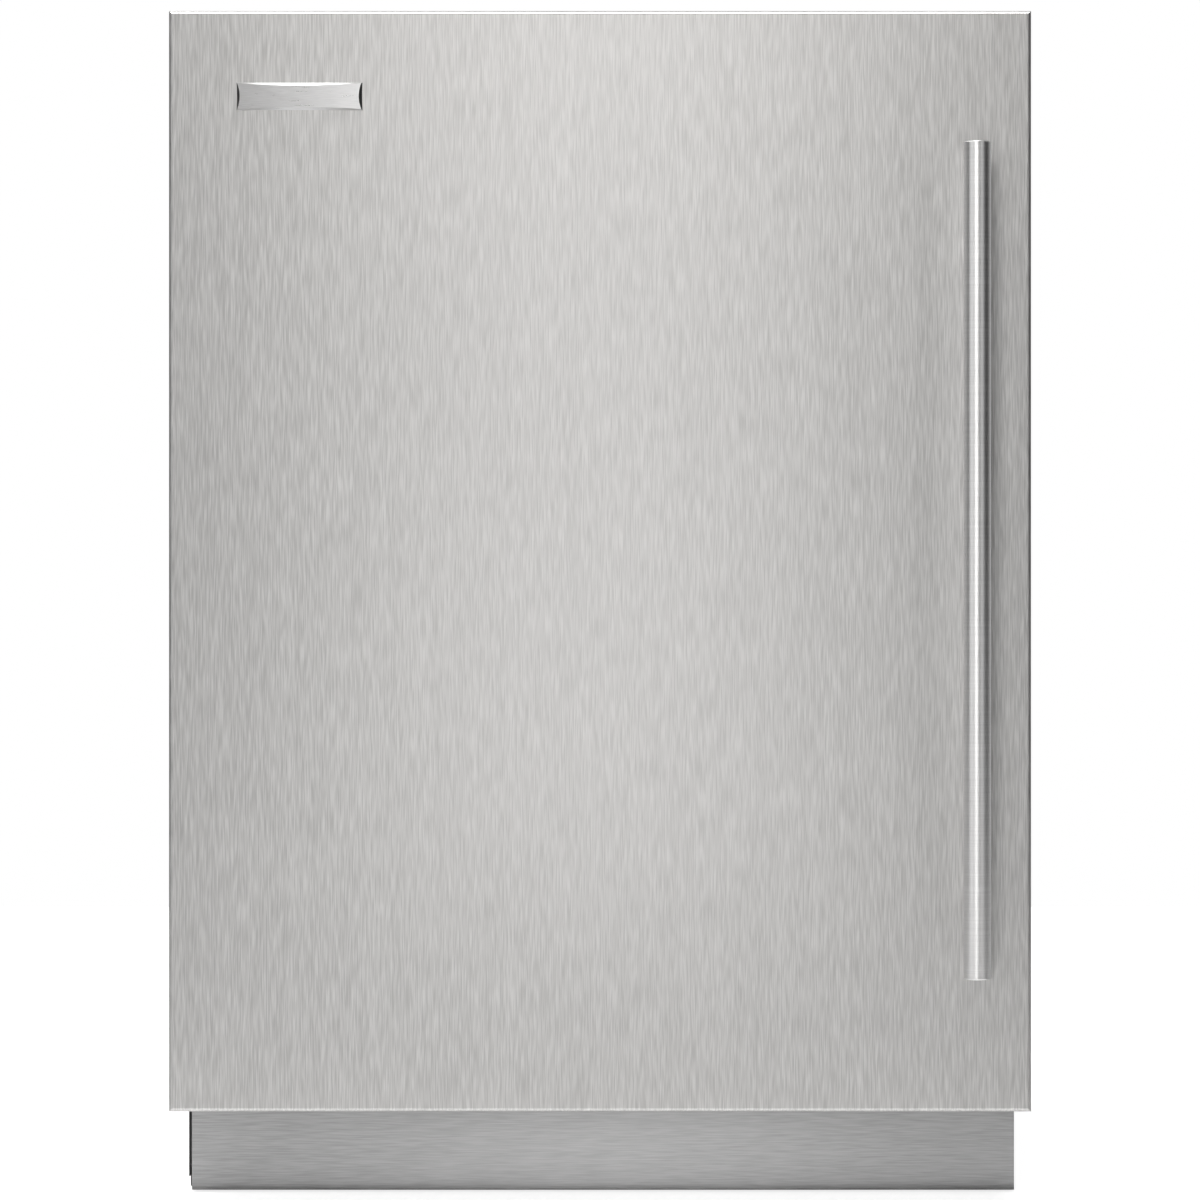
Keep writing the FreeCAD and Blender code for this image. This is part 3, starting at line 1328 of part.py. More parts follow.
def at_corner(edge, box):
    """Whether an edge is at an outer corner, seen along Y."""
    at = edge.CenterOfMass
    side = min(abs(at.x - box.XMin), abs(at.x - box.XMax))
    end = min(abs(at.z - box.ZMin), abs(at.z - box.ZMax))
    return side < 0.1 and end < 0.1


def make_insulated_door():
    """The insulated door behind the panel: steel pan, foam and moulded lining."""
    pan = new_body("door_pan")
    outside = rect(f"-{DOOR_X}", DOOR_X, "door_z", "door_top")
    pad(pan, "XZ", PANEL_BACK, DOOR_BACK, outside)
    s = "door_skin"
    inside = rect(f"{s} - {DOOR_X}", f"{DOOR_X} - {s}", f"door_z + {s}", f"door_top - {s}")
    pocket(pan, "XZ", f"{PANEL_BACK} + {s}", DOOR_BACK, inside)
    hole = (PIN_X, PIN_Y, f"{BUSH_R} + fit")
    pocket(pan, "XY", "door_z - 1", f"door_z + {s} + 1", hole)
    pocket(pan, "XY", f"door_top - {s} - 1", "door_top + 1", hole)
    node(pan)

    lining_front = f"{DOOR_BACK} - door_lining"
    core_top = f"{DOOR_BACK} + dyke_h - door_lining"
    core = dyke("dyke_core", "door_lining", f"{lining_front} - 1", core_top)
    sleeves = [
        rod(f"bush_hole_{k}", "Z", PIN_X, PIN_Y, z, f"{BUSH_R} + fit", "20")
        for k, z in enumerate(("door_z - 1", "door_top - 19"))
    ]
    block = prism("door_block", "XZ", f"{PANEL_BACK} + {s}", lining_front, inside)
    node(cut("door_filling", fuse("door_mass", block, core), *sleeves), "door_insulation")

    flat = prism("lining_flat", "XZ", lining_front, DOOR_BACK, inside)
    rim = dyke("dyke_rim", "0", lining_front, f"{DOOR_BACK} + dyke_h")
    lugs = []
    inner = "dyke_x - dyke_w"
    for k, z in enumerate(("low_bin_z + 52", "mid_bin_z + 44", "dairy_z + 44")):
        for side, (x0, x1) in (
            ("left", (f"-({inner}) - 1", f"-bin_x + bin_t")),
            ("right", ("bin_x - bin_t", f"{inner} + 1")),
        ):
            depth = (f"{DOOR_BACK} - 0.5", f"{DOOR_BACK} + 16")
            lugs.append(slab(f"lug_{side}_{k}", (x0, x1), depth, (z, f"{z} + 10")))
    shell = cut("door_lining_shell", fuse("door_lining_mass", flat, rim), core)
    node(fuse("door_lining_lugged", shell, *lugs), "door_lining")


def make_gasket():
    """The magnetic gasket: retainer, bellows and head."""
    body = new_body("gasket_profile")
    front = DOOR_BACK
    rings = (
        ("0", "3", "2", "12"),
        ("3", "7", "5", "6"),
        ("7", "seal_gap - 0.3", "0", "seal_w"),
    )
    for start, end, inset, rim in rings:
        outline = frame(f"seal_x - {inset}", f"seal_z + {inset}", f"seal_top - {inset}", rim)
        pad(body, "XZ", f"{front} + {start}", f"{front} + {end}", *outline)
    ease(body, "Fillet", "1.6", lambda e, box: lies(e, "Y", box.YMax))
    return node(body, "door_gasket")


def make_bin(name, low, height):
    """A door bin: an open tray whose cavity side is cut lower, slotted to hang on the lugs."""
    body = new_body(name)
    near = f"{DOOR_BACK} + 0.5"
    top = f"({low} + {height})"
    pad(body, "XY", low, top, rect("-bin_x", "bin_x", near, "bin_y"))
    ease(body, "Fillet", "bin_round", lambda e, box: runs(e, "z") and lies(e, "Y", box.YMax))
    t = "bin_t"
    hollow = rect(f"{t} - bin_x", f"bin_x - {t}", f"{near} + {t}", f"bin_y - {t}")
    pocket(body, "XY", f"{low} + {t}", top, hollow)
    ease(body, "Fillet", f"bin_round - {t}", lambda e, box: runs(e, "z") and inner_corner(e, box))
    lip = rect("16 - bin_x", "bin_x - 16", f"{top} - bin_lip", top)
    pocket(body, "XZ", f"bin_y - {t} - 0.5", "bin_y", lip)
    return body


def inner_corner(edge, box):
    """Whether an upright edge is inside the bin, next to its cavity-side wall."""
    at = edge.CenterOfMass
    return box.YMax - 4 < at.y < box.YMax - 2 and abs(at.x) < box.XMax - 2


def slot_bin(body, lug_z):
    """Opens the bin's ends below its lugs, so that it lifts on and off them."""
    t = "bin_t"
    depth = (f"{DOOR_BACK} + 0.5 - 1", f"{DOOR_BACK} + 17")
    for x0, x1 in (("-bin_x", f"{t} - bin_x"), (f"bin_x - {t}", "bin_x")):
        outline = rect(*depth, f"{lug_z} - 40", f"{lug_z} + 10.3")
        pocket(body, "YZ", f"{x0} - 0.2", f"{x1} + 0.2", outline)


def make_bins():
    """Two door bins with metal rails, and the dairy box with its lid."""
    rails = []
    for name, low, height, lug in (
        ("lower_door_bin", "low_bin_z", "low_bin_h", "low_bin_z + 52"),
        ("middle_door_bin", "mid_bin_z", "mid_bin_h", "mid_bin_z + 44"),
    ):
        body = make_bin(name, low, height)
        slot_bin(body, lug)
        node(body)
        top = f"({low} + {height})"
        rail = prism(
            f"{name}_rail",
            "XZ",
            "bin_y + 0.3",
            "bin_y + 3.3",
            rect("14 - bin_x", "bin_x - 14", f"{top} - 2 - bin_rail_h", f"{top} - 2"),
        )
        ease(rail, "Fillet", "1.2", lambda e, box: runs(e, "x"))
        rails.append(rail)
        for side in ("-(bin_x - 15)", "bin_x - 21"):
            post = (side, f"{side} + 6")
            hold = (f"{top} - 14", f"{top} - 4")
            rails.append(slab(f"{name}_rail_{side[0]}", post, ("bin_y", "bin_y + 0.3"), hold))
    node(group("rails", *rails), "bin_rails")

    box = new_body("dairy_box")
    near, far = f"{DOOR_BACK} + 0.5", "bin_y - 4"
    top = "(dairy_z + dairy_h)"
    t = "bin_t"
    pad(box, "XY", "dairy_z", top, rect("-bin_x", "bin_x", near, far))
    hollow = rect(f"{t} - bin_x", f"bin_x - {t}", f"{near} + {t}", f"{far} - {t}")
    pocket(box, "XY", f"dairy_z + {t}", top, hollow)
    pocket(box, "XZ", f"{far} - {t} - 0.5", far, rect("-bin_x", "bin_x", f"{top} - 26", top))
    low_back = rect(f"{t} - bin_x", f"bin_x - {t}", f"{top} - 12", top)
    pocket(box, "XZ", near, f"{near} + {t} + 0.5", low_back)
    pocket(box, "YZ", "-bin_x", "bin_x", ("lid_axis_y", "lid_axis_z", "2.5 + fit"))
    slot_bin(box, "dairy_z + 44")
    node(box)

    make_dairy_lid(top)


def make_dairy_lid(rim):
    """The dairy box's lid: it lies on the rim, and turns on two pins between the box's ends."""
    lid = new_body("dairy_lid")
    reach = "bin_y + 1"
    low, high = f"{rim} + lid_gap", f"{rim} + lid_gap + lid_t"
    inside = "(bin_x - bin_t - 0.5)"
    outline = [
        (f"-{inside}", "lid_axis_y - 1.5"),
        (inside, "lid_axis_y - 1.5"),
        (inside, "lid_axis_y + 5.5"),
        ("bin_x", "lid_axis_y + 5.5"),
        ("bin_x", reach),
        ("-bin_x", reach),
        ("-bin_x", "lid_axis_y + 5.5"),
        (f"-{inside}", "lid_axis_y + 5.5"),
    ]
    pad(lid, "XY", low, high, outline)
    lip = rect("-bin_x", "bin_x", f"{rim} - 18", high)
    pad(lid, "XZ", f"{reach} - lid_t", reach, lip)
    axis = ("lid_axis_y", "lid_axis_z")
    for side in ("-", ""):
        inner, outer, pin_out = (f"{side}(bin_x - {inset})" for inset in (7, 4, 0.3))
        ear = (outer, inner) if side else (inner, outer)
        pin = (pin_out, outer) if side else (outer, pin_out)
        pad(lid, "YZ", *ear, (*axis, "3.2"))
        pad(lid, "YZ", *ear, rect("lid_axis_y - 1.5", "lid_axis_y + 3.2", "lid_axis_z", low))
        pad(lid, "YZ", *pin, (*axis, "2.5"))
    node(lid)


def make_panel_brackets():
    """Four angle brackets that hold the panel to the insulated door's sides."""
    brackets = []
    for side, sign in (("left", "-"), ("right", "")):
        for k, z in enumerate(("190", "690")):
            leg = [
                (f"{sign}{DOOR_X}", PANEL_BACK),
                (f"{sign}({DOOR_X} + 5)", PANEL_BACK),
                (f"{sign}({DOOR_X} + 5)", f"{PANEL_BACK} + 1.5"),
                (f"{sign}({DOOR_X} + 1.5)", f"{PANEL_BACK} + 1.5"),
                (f"{sign}({DOOR_X} + 1.5)", f"{PANEL_BACK} + 24"),
                (f"{sign}{DOOR_X}", f"{PANEL_BACK} + 24"),
            ]
            brackets.append(prism(f"bracket_{side}_{k}", "XY", z, f"{z} + 40", leg))
    node(group("brackets", *brackets), "panel_brackets")


# ---- Places shared between pieces ------------------------------------------------------------

DRAIN_X, DRAIN_Y, DRAIN_R = "60", "242", "7"
SUCTION_X, SUCTION_R = "215", "4"
COMP_X, COMP_Y = "150", "226"
COND_X, COND_Y = "-130", "150"
DRIER_X, DRIER_Y, DRIER_Z = "20", "200", "90"
INLET_X, INLET_Z = "240", "240"
KEY_PLACES = (-70, 60, 80)
LOUVRE_PLACES, LOUVRES = (-190, -30, 130), "13"
VENT_PLACES, VENTS = (-120, 0, 120), "6"
BEADS = "4"
CLIP_PLACES = (-190, 0, 190)
GRILLE_REACH = 46
FAN_HOLE = "50"
BUSH_R = "7.5"
POST_HEIGHTS = (f"{HANDLE_Z} + post_inset", f"{HANDLE_Z} + handle_len - post_inset")
PANEL_SCREWS = [(x, z) for x in ("-284", "284") for z in ("330", "575", "815")]
PANEL_SCREWS += [("-100", "815"), ("100", "815")]
COVER_SCREWS = [(x, z) for z in ("36", "step_z - 9") for x in ("-230", "0", "230")]
HINGE_SCREWS = [(f"{PIN_X} + {dx}", f"{PIN_Y} + {dy}") for dx, dy in ((10, 62), (36, 62), (23, 112))]
LEG_PLACES = (
    ("-leg_x", LEG_Y),
    ("leg_x", LEG_Y),
    ("-leg_x_back", "leg_y_back"),
    ("leg_x_back", "leg_y_back"),
)


def make_all():
    make_wrapper()
    make_deck()
    make_back_panel()
    make_rear_cover()
    make_foam(make_lining())
    make_base()
    make_kick_plate()
    names = ("front_left_leg", "front_right_leg", "back_left_leg", "back_right_leg")
    for name, (x, y) in zip(names, LEG_PLACES):
        make_leg(name, x, y)
    screws = make_hinges()
    make_shelves()
    make_duct()
    make_evaporator_fan()
    make_coil(
        "evaporator_coil", "-190", "190", "duct_y + 29", "400", 7, "24", "36", "4", 40
    )
    make_console()
    screws += make_compressor()
    make_coil(
        "condenser_coil",
        f"{COND_X} - 92",
        f"{COND_X} + 92",
        COND_Y,
        "76",
        6,
        "26",
        "36",
        "4",
        30,
    )
    make_condenser_fan()
    make_plumbing()
    make_power_inlet()
    make_screws(screws)
    make_panel()
    make_handle()
    make_badge()
    make_insulated_door()
    make_gasket()
    make_bins()
    make_panel_brackets()


def check_and_write():
    """Stops on any failed object, then writes each sub-part to its own STEP file."""
    doc.recompute()
    bad = [t.Name for t in doc.Objects if {"Invalid", "Error"} & set(t.State)]
    if bad:
        raise RuntimeError(f"these failed: {bad}")
    for thing in doc.Objects:
        base = getattr(thing, "BaseFeature", None)
        if thing.TypeId == "PartDesign::Pocket" and base is not None:
            if thing.Shape.Volume > base.Shape.Volume - 0.01:
                raise RuntimeError(f"{thing.Name} takes nothing away")
    if len(nodes) > MOST_NODES:
        raise RuntimeError(f"{len(nodes)} sub-parts are too many")
    os.makedirs("parts", exist_ok=True)
    for thing in nodes:
        if thing.Shape.isNull() or not thing.Shape.isValid():
            raise RuntimeError(f"{thing.Label} has no valid shape")
        thing.Shape.exportStep(f"parts/{thing.Label}.step")
    print(len(nodes), "sub-parts written")


make_all()
check_and_write()
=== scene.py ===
"""Undercounter refrigerator: materials, fine detail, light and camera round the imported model.

Metres, in the model's own frame: X to the right across the door, Y from the door to the back,
Z up from the floor.
"""
import json
import math

import bpy
import mathutils
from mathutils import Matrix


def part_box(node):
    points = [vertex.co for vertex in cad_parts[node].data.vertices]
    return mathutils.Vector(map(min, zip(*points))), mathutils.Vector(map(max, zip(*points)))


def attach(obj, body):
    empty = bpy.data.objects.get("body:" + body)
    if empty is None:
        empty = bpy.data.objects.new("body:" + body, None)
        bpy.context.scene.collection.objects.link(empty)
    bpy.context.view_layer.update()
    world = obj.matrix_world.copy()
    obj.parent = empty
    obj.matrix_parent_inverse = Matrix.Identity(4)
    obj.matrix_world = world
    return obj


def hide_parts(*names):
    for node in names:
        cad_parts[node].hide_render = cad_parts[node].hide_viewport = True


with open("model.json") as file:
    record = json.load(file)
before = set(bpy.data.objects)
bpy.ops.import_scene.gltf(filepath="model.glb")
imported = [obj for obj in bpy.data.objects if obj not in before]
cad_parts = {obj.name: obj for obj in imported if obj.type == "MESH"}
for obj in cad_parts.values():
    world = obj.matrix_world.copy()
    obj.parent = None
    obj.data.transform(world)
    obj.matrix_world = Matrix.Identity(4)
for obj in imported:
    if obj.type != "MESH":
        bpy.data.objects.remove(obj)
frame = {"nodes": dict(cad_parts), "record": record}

MM = 0.001
Vector = mathutils.Vector
NODES = frame["nodes"]
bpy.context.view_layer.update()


# ---- Node helpers ----------------------------------------------------------------------------


class Surface:
    """A material with one principled shader, and short calls for what drives it."""

    def __init__(self, name, colour, metallic=0.0, roughness=0.5, **sockets):
        self.material = bpy.data.materials.new(name)
        self.material.use_nodes = True
        self.tree = self.material.node_tree
        self.shader = self.tree.nodes["Principled BSDF"]
        self.colour = colour
        self.roughness = roughness
        self.shader.inputs["Base Color"].default_value = (*colour, 1)
        self.shader.inputs["Metallic"].default_value = metallic
        self.shader.inputs["Roughness"].default_value = roughness
        for socket, value in sockets.items():
            self.shader.inputs[socket.replace("_", " ")].default_value = value

    def add(self, kind, **settings):
        node = self.tree.nodes.new(kind)
        for setting, value in settings.items():
            setattr(node, setting, value)
        return node

    def link(self, start, end):
        self.tree.links.new(start, end)

    def noise(self, scale, detail=3.0, rough=0.55, kind="ShaderNodeTexNoise"):
        """Noise in the object's own space, with a scale for each axis in features a metre."""
        place = self.add("ShaderNodeTexCoord")
        mapping = self.add("ShaderNodeMapping")
        mapping.inputs["Scale"].default_value = scale
        noise = self.add(kind)
        noise.inputs["Scale"].default_value = 1.0
        noise.inputs["Detail"].default_value = detail
        noise.inputs["Roughness"].default_value = rough
        self.link(place.outputs["Object"], mapping.inputs["Vector"])
        self.link(mapping.outputs["Vector"], noise.inputs["Vector"])
        return noise.outputs[0]

    def spread(self, value, low, high, start=0.3, end=0.7):
        """Carries a 0 to 1 value into a range."""
        ramp = self.add("ShaderNodeMapRange")
        ramp.inputs["From Min"].default_value = start
        ramp.inputs["From Max"].default_value = end
        ramp.inputs["To Min"].default_value = low
        ramp.inputs["To Max"].default_value = high
        self.link(value, ramp.inputs["Value"])
        return ramp.outputs["Result"]

    def mix(self, factor, first, second):
        """A colour between two, by a factor; each is a colour or a socket."""
        mix = self.add("ShaderNodeMix", data_type="RGBA")
        self.link(factor, mix.inputs["Factor"])
        for socket, value in ((mix.inputs["A"], first), (mix.inputs["B"], second)):
            if isinstance(value, bpy.types.NodeSocket):
                self.link(value, socket)
            else:
                socket.default_value = (*value, 1)
        return mix.outputs["Result"]

    def tint(self, factor, amount):
        """Varies the base colour darker and lighter by an amount."""
        darker = [c * (1 - amount) for c in self.colour]
        lighter = [min(1.0, c * (1 + amount)) for c in self.colour]
        mixed = self.mix(self.spread(factor, 0.0, 1.0), darker, lighter)
        self.link(mixed, self.shader.inputs["Base Color"])
        return mixed

    def polish(self, factor, amount):
        """Varies the roughness about its middle value by an amount."""
        varied = self.spread(factor, self.roughness - amount, self.roughness + amount)
        self.link(varied, self.shader.inputs["Roughness"])

    def bump(self, height, depth, strength=1.0):
        """Raises the surface by a height of up to a depth in metres."""
        bump = self.add("ShaderNodeBump")
        bump.inputs["Strength"].default_value = strength
        bump.inputs["Distance"].default_value = depth
        self.link(height, bump.inputs["Height"])
        self.link(bump.outputs["Normal"], self.shader.inputs["Normal"])


# ---- Materials -------------------------------------------------------------------------------

STREAK_SHADE = 0.03


def brushed(name, colour, roughness, fine, streak, axis="Z", depth=0.2, anisotropy=0.5):
    """Brushed steel: short fine scratches, with a little broader shading along the grain."""
    steel = Surface(name, colour, 1.0, roughness, Anisotropic=anisotropy)
    tangent = steel.add("ShaderNodeTangent", direction_type="RADIAL", axis=axis)
    steel.link(tangent.outputs["Tangent"], steel.shader.inputs["Tangent"])
    scratches = steel.noise(fine, 1.0, 0.5)
    shading = steel.spread(steel.noise(streak, 1.0), -STREAK_SHADE, STREAK_SHADE)
    both = steel.add("ShaderNodeMath", operation="ADD")
    steel.link(scratches, both.inputs[0])
    steel.link(shading, both.inputs[1])
    steel.tint(both.outputs[0], depth)
    steel.polish(both.outputs[0], 0.03)
    return steel.material


def door_steel():
    fine, streak = (1100, 1100, 50), (160, 160, 6)
    return brushed("steel_grain_up", (0.575, 0.570, 0.564), 0.41, fine, streak, depth=0.17)


def kick_steel_shaded():
    # The same steel as the door, given a darker base colour: painted shade of the recess under
    # the door's overhang.
    fine, streak = (50, 1100, 1100), (6, 160, 160)
    return brushed("steel_grain_across_shaded", (0.415, 0.415, 0.418), 0.40, fine, streak, "X", 0.13)


def handle_steel():
    """Satin tube with faint rings round it."""
    colour, fine, streak = (0.80, 0.797, 0.795), (20, 20, 1300), (6, 6, 90)
    return brushed("steel_handle", colour, 0.37, fine, streak, depth=0.04, anisotropy=0.0)


def trim_steel():
    return brushed("steel_trim", (0.66, 0.66, 0.66), 0.32, (9, 1500, 1500), (2, 90, 90), "X")


def badge_metal():
    """Satin plate, finely brushed across, with painted shade darkening the bevels at its two
    ends.
    """
    plate = Surface("badge_satin", (0.70, 0.70, 0.705), 1.0, 0.30)
    brushing = plate.tint(plate.noise((120, 1800, 1800), 1.0), 0.05)
    normal = plate.add("ShaderNodeNewGeometry")
    sides = plate.add("ShaderNodeSeparateXYZ")
    plate.link(normal.outputs["Normal"], sides.inputs["Vector"])
    slope = plate.add("ShaderNodeMath", operation="ABSOLUTE")
    plate.link(sides.outputs["X"], slope.inputs[0])
    bevel = plate.spread(slope.outputs[0], 0.0, 1.0, 0.15, 0.5)
    # Painted shade: faces turned sideways, the end bevels, blend to a near-black colour.
    shaded = plate.mix(bevel, brushing, (0.09, 0.09, 0.092))
    plate.link(shaded, plate.shader.inputs["Base Color"])
    plate.polish(plate.noise((60, 900, 900)), 0.03)
    return plate.material


def bright_steel():
    pin = Surface("steel_ground", (0.66, 0.66, 0.67), 1.0, 0.18)
    rings = pin.noise((40, 40, 3000), 2.0)
    pin.tint(rings, 0.05)
    pin.polish(rings, 0.05)
    return pin.material


def powder_coat(name, colour, roughness=0.55, grain=900):
    """Fine-texture powder coat: an even pebbling, with dust in faint broad patches."""
    paint = Surface(name, colour, 0.0, roughness, Coat_Weight=0.12, Coat_Roughness=0.35)
    pebbles = paint.noise((grain, grain, grain), 2.0)
    dust = paint.noise((7, 7, 7), 4.0)
    paint.tint(dust, 0.07)
    paint.polish(dust, 0.025)
    paint.bump(pebbles, 0.00008, 0.5)
    return paint.material


def case_paint():
    return powder_coat("paint_case", (0.022, 0.022, 0.024))


def door_paint():
    return powder_coat("paint_door", (0.035, 0.035, 0.038), 0.5, 1100)


def black_paint():
    return powder_coat("paint_black", (0.018, 0.018, 0.018), 0.38, 500)


def coil_paint():
    return powder_coat("paint_coil", (0.028, 0.028, 0.028), 0.45, 700)


def motor_paint():
    return powder_coat("paint_motor", (0.03, 0.03, 0.032), 0.42, 600)


def zinc(name, colour, roughness, cell):
    """Zinc-coated sheet: crystals that catch the light each in its own way."""
    sheet = Surface(name, colour, 1.0, roughness)
    place = sheet.add("ShaderNodeTexCoord")
    cells = sheet.add("ShaderNodeTexVoronoi")
    cells.inputs["Scale"].default_value = cell
    sheet.link(place.outputs["Object"], cells.inputs["Vector"])
    shade = sheet.add("ShaderNodeSeparateColor")
    sheet.link(cells.outputs["Color"], shade.inputs["Color"])
    sheet.tint(shade.outputs["Red"], 0.035)
    sheet.polish(shade.outputs["Green"], 0.025)
    sheet.bump(sheet.noise((250, 250, 250)), 0.00003, 0.4)
    return sheet.material


def galvanised():
    return zinc("zinc_sheet", (0.50, 0.52, 0.53), 0.42, 130)


def zinc_plate():
    return zinc("zinc_bright", (0.62, 0.62, 0.61), 0.34, 900)


def moulded(name, colour, roughness, grain=700, depth=0.00004, **sockets):
    """Moulded plastic: a fine texture from the tool and a faint unevenness in its colour."""
    plastic = Surface(name, colour, 0.0, roughness, **sockets)
    texture = plastic.noise((grain, grain, grain), 2.0)
    cloud = plastic.noise((9, 9, 9), 3.0)
    plastic.tint(cloud, 0.015)
    plastic.polish(cloud, 0.012)
    plastic.bump(texture, depth, 0.4)
    return plastic.material


def white_lining():
    return moulded("lining_white", (0.80, 0.81, 0.81), 0.30, 260, 0.00006, Coat_Weight=0.25)


def console_plastic():
    return moulded("console_satin", (0.70, 0.71, 0.72), 0.34)


def black_plastic():
    return moulded("plastic_black", (0.022, 0.022, 0.023), 0.48)


def tray_plastic():
    return moulded("plastic_tray", (0.16, 0.165, 0.17), 0.45)


def key_plastic():
    return moulded("plastic_key", (0.42, 0.43, 0.44), 0.40)


def lens_plastic():
    return moulded("lens_frosted", (0.88, 0.88, 0.84), 0.35, 900, 0.00003, Subsurface_Weight=0.25)


def window_plastic():
    return moulded("window_dark", (0.006, 0.006, 0.008), 0.08, 300, 0.00001, Coat_Weight=0.5)


def core_board():
    return moulded("board_grey", (0.30, 0.29, 0.27), 0.75, 350, 0.0002)


def foam():
    """Poured foam: a skin over open cells."""
    block = Surface("foam_cells", (0.80, 0.72, 0.48), 0.0, 0.85)
    cells = block.noise((420, 420, 420), 2.0, 0.6)
    block.tint(block.noise((15, 15, 15), 4.0), 0.08)
    block.bump(cells, 0.0005, 0.6)
    return block.material


def rubber():
    pad = Surface("rubber_black", (0.018, 0.018, 0.018), 0.0, 0.62, Specular_IOR_Level=0.35)
    bloom = pad.noise((60, 60, 60), 4.0)
    pad.tint(bloom, 0.18)
    pad.polish(bloom, 0.08)
    pad.bump(pad.noise((1500, 1500, 1500)), 0.00005, 0.5)
    return pad.material


def gasket_vinyl():
    seal = Surface("vinyl_seal", (0.20, 0.20, 0.205), 0.0, 0.46, Subsurface_Weight=0.05)
    seal.tint(seal.noise((25, 25, 25), 4.0), 0.06)
    seal.polish(seal.noise((90, 90, 90)), 0.07)
    seal.bump(seal.noise((900, 900, 900)), 0.00004, 0.4)
    return seal.material


def aluminium():
    fin = Surface("aluminium_mill", (0.72, 0.73, 0.74), 1.0, 0.34)
    rolled = fin.noise((30, 900, 30), 3.0)
    fin.tint(rolled, 0.05)
    fin.polish(rolled, 0.06)
    return fin.material


def copper():
    """Drawn copper, dulled in patches."""
    pipe = Surface("copper_drawn", (0.66, 0.34, 0.20), 1.0, 0.32)
    patches = pipe.noise((45, 45, 45), 5.0, 0.65)
    dulled = pipe.mix(pipe.spread(patches, 0.0, 1.0, 0.45, 0.7), pipe.colour, (0.30, 0.16, 0.10))
    pipe.link(dulled, pipe.shader.inputs["Base Color"])
    pipe.polish(patches, 0.10)
    return pipe.material


def clear(name, colour, roughness, ior, ripple):
    """Clear glass or plastic with a faint ripple."""
    pane = Surface(name, colour, 0.0, roughness, Transmission_Weight=1.0, IOR=ior)
    wave = pane.noise((ripple, ripple, ripple), 1.0)
    pane.bump(wave, 0.00005, 0.15)
    tinted = [c * 0.985 for c in colour]
    mixed = pane.mix(pane.spread(wave, 0.0, 1.0), colour, tinted)
    pane.link(mixed, pane.shader.inputs["Base Color"])
    return pane.material


def shelf_glass():
    return clear("glass_shelf", (0.94, 0.985, 0.97), 0.0, 1.5, 12)


def clear_bin():
    return clear("plastic_clear", (0.985, 0.99, 0.992), 0.04, 1.49, 25)


def lit_digit():
    digit = Surface("digit_lit", (0.30, 0.62, 0.70), 0.0, 0.4, Emission_Strength=1.2)
    glow = digit.noise((400, 400, 400))
    mixed = digit.tint(glow, 0.06)
    digit.link(mixed, digit.shader.inputs["Emission Color"])
    return digit.material


SLOT_MATERIALS = {
    "brushed_stainless": door_steel(),
    "satin_stainless": handle_steel(),
    "satin_trim": trim_steel(),
    "badge_metal": badge_metal(),
    "bright_steel": bright_steel(),
    "painted_steel": case_paint(),
    "painted_steel_door": door_paint(),
    "black_steel": black_paint(),
    "condenser_black": coil_paint(),
    "motor_black": motor_paint(),
    "galvanised_steel": galvanised(),
    "zinc_steel": zinc_plate(),
    "white_lining": white_lining(),
    "console_grey": console_plastic(),
    "black_plastic": black_plastic(),
    "tray_grey": tray_plastic(),
    "key_grey": key_plastic(),
    "lens_white": lens_plastic(),
    "dark_window": window_plastic(),
    "core_board": core_board(),
    "foam": foam(),
    "black_rubber": rubber(),
    "gasket_grey": gasket_vinyl(),
    "aluminium": aluminium(),
    "copper": copper(),
    "clear_glass": shelf_glass(),
    "clear_bin": clear_bin(),
}
NODE_MATERIALS = {"kick_plate": kick_steel_shaded()}


def dress(thing, material):
    thing.data.materials.clear()
    thing.data.materials.append(material)


for part in frame["record"]["subparts"]:
    slot = SLOT_MATERIALS[part["material_slot"]]
    dress(NODES[part["node"]], NODE_MATERIALS.get(part["node"], slot))


# ---- Mesh helpers ----------------------------------------------------------------------------


def piece(name, points, faces, body, slot, material=None, smooth=False):
    """A mesh piece that rides on a body and takes a record slot's finish."""
    mesh = bpy.data.meshes.new(name)
    mesh.from_pydata([tuple(p) for p in points], [], faces)
    mesh.validate()
    mesh.update()
    thing = bpy.data.objects.new(name, mesh)
    bpy.context.scene.collection.objects.link(thing)
    for polygon in mesh.polygons:
        polygon.use_smooth = smooth
    dress(thing, material or SLOT_MATERIALS[slot])
    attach(thing, body)
    return thing


def bevelled(thing, width, segments=2):
    """Rounds a piece's sharp edges."""
    bevel = thing.modifiers.new("rounding", "BEVEL")
    bevel.width = width
    bevel.segments = segments
    bevel.limit_method = "ANGLE"
    return thing


def merged(parts):
    """Several (points, faces) pairs as one."""
    points, faces = [], []
    for more, shapes in parts:
        start = len(points)
        points += more
        faces += [tuple(start + k for k in face) for face in shapes]
    return points, faces


# ---- Pieces ----------------------------------------------------------------------------------

GASKET_ROUNDING = 0.0003
LOUVRE_COLUMNS = (-0.190, -0.030, 0.130)
LOUVRE_ROWS = 13
LOUVRE_LOW = 0.094
LOUVRE_PITCH = 0.014
LOUVRE_HEIGHT = 0.006
LOUVRE_HALF = 0.062
HOOD_PROUD = 0.0023
HOOD_ABOVE_SLOT = 0.0005
HOOD_EXTRA = 0.001
HOOD_SHEET = 0.0005
HOOD_SQUARENESS = 5
FOIL_MIDDLE = 0.150
FOIL_HALF = 0.040
FOIL_HEIGHT = 0.050
FOIL_BELOW_TOP = 0.036
FOIL_CORNER = 0.004
FOIL_THICK = 0.0002
SEAM_RADIUS = 0.076
SEAM_ABOVE_MOUNTS = 0.0705
SEAM_BEAD = 0.0014
SKIRT_GAP = 0.001
SKIRT_SHEET = 0.0012
SKIRT_LIP = 0.005
SKIRT_FOLD_STEPS = 3


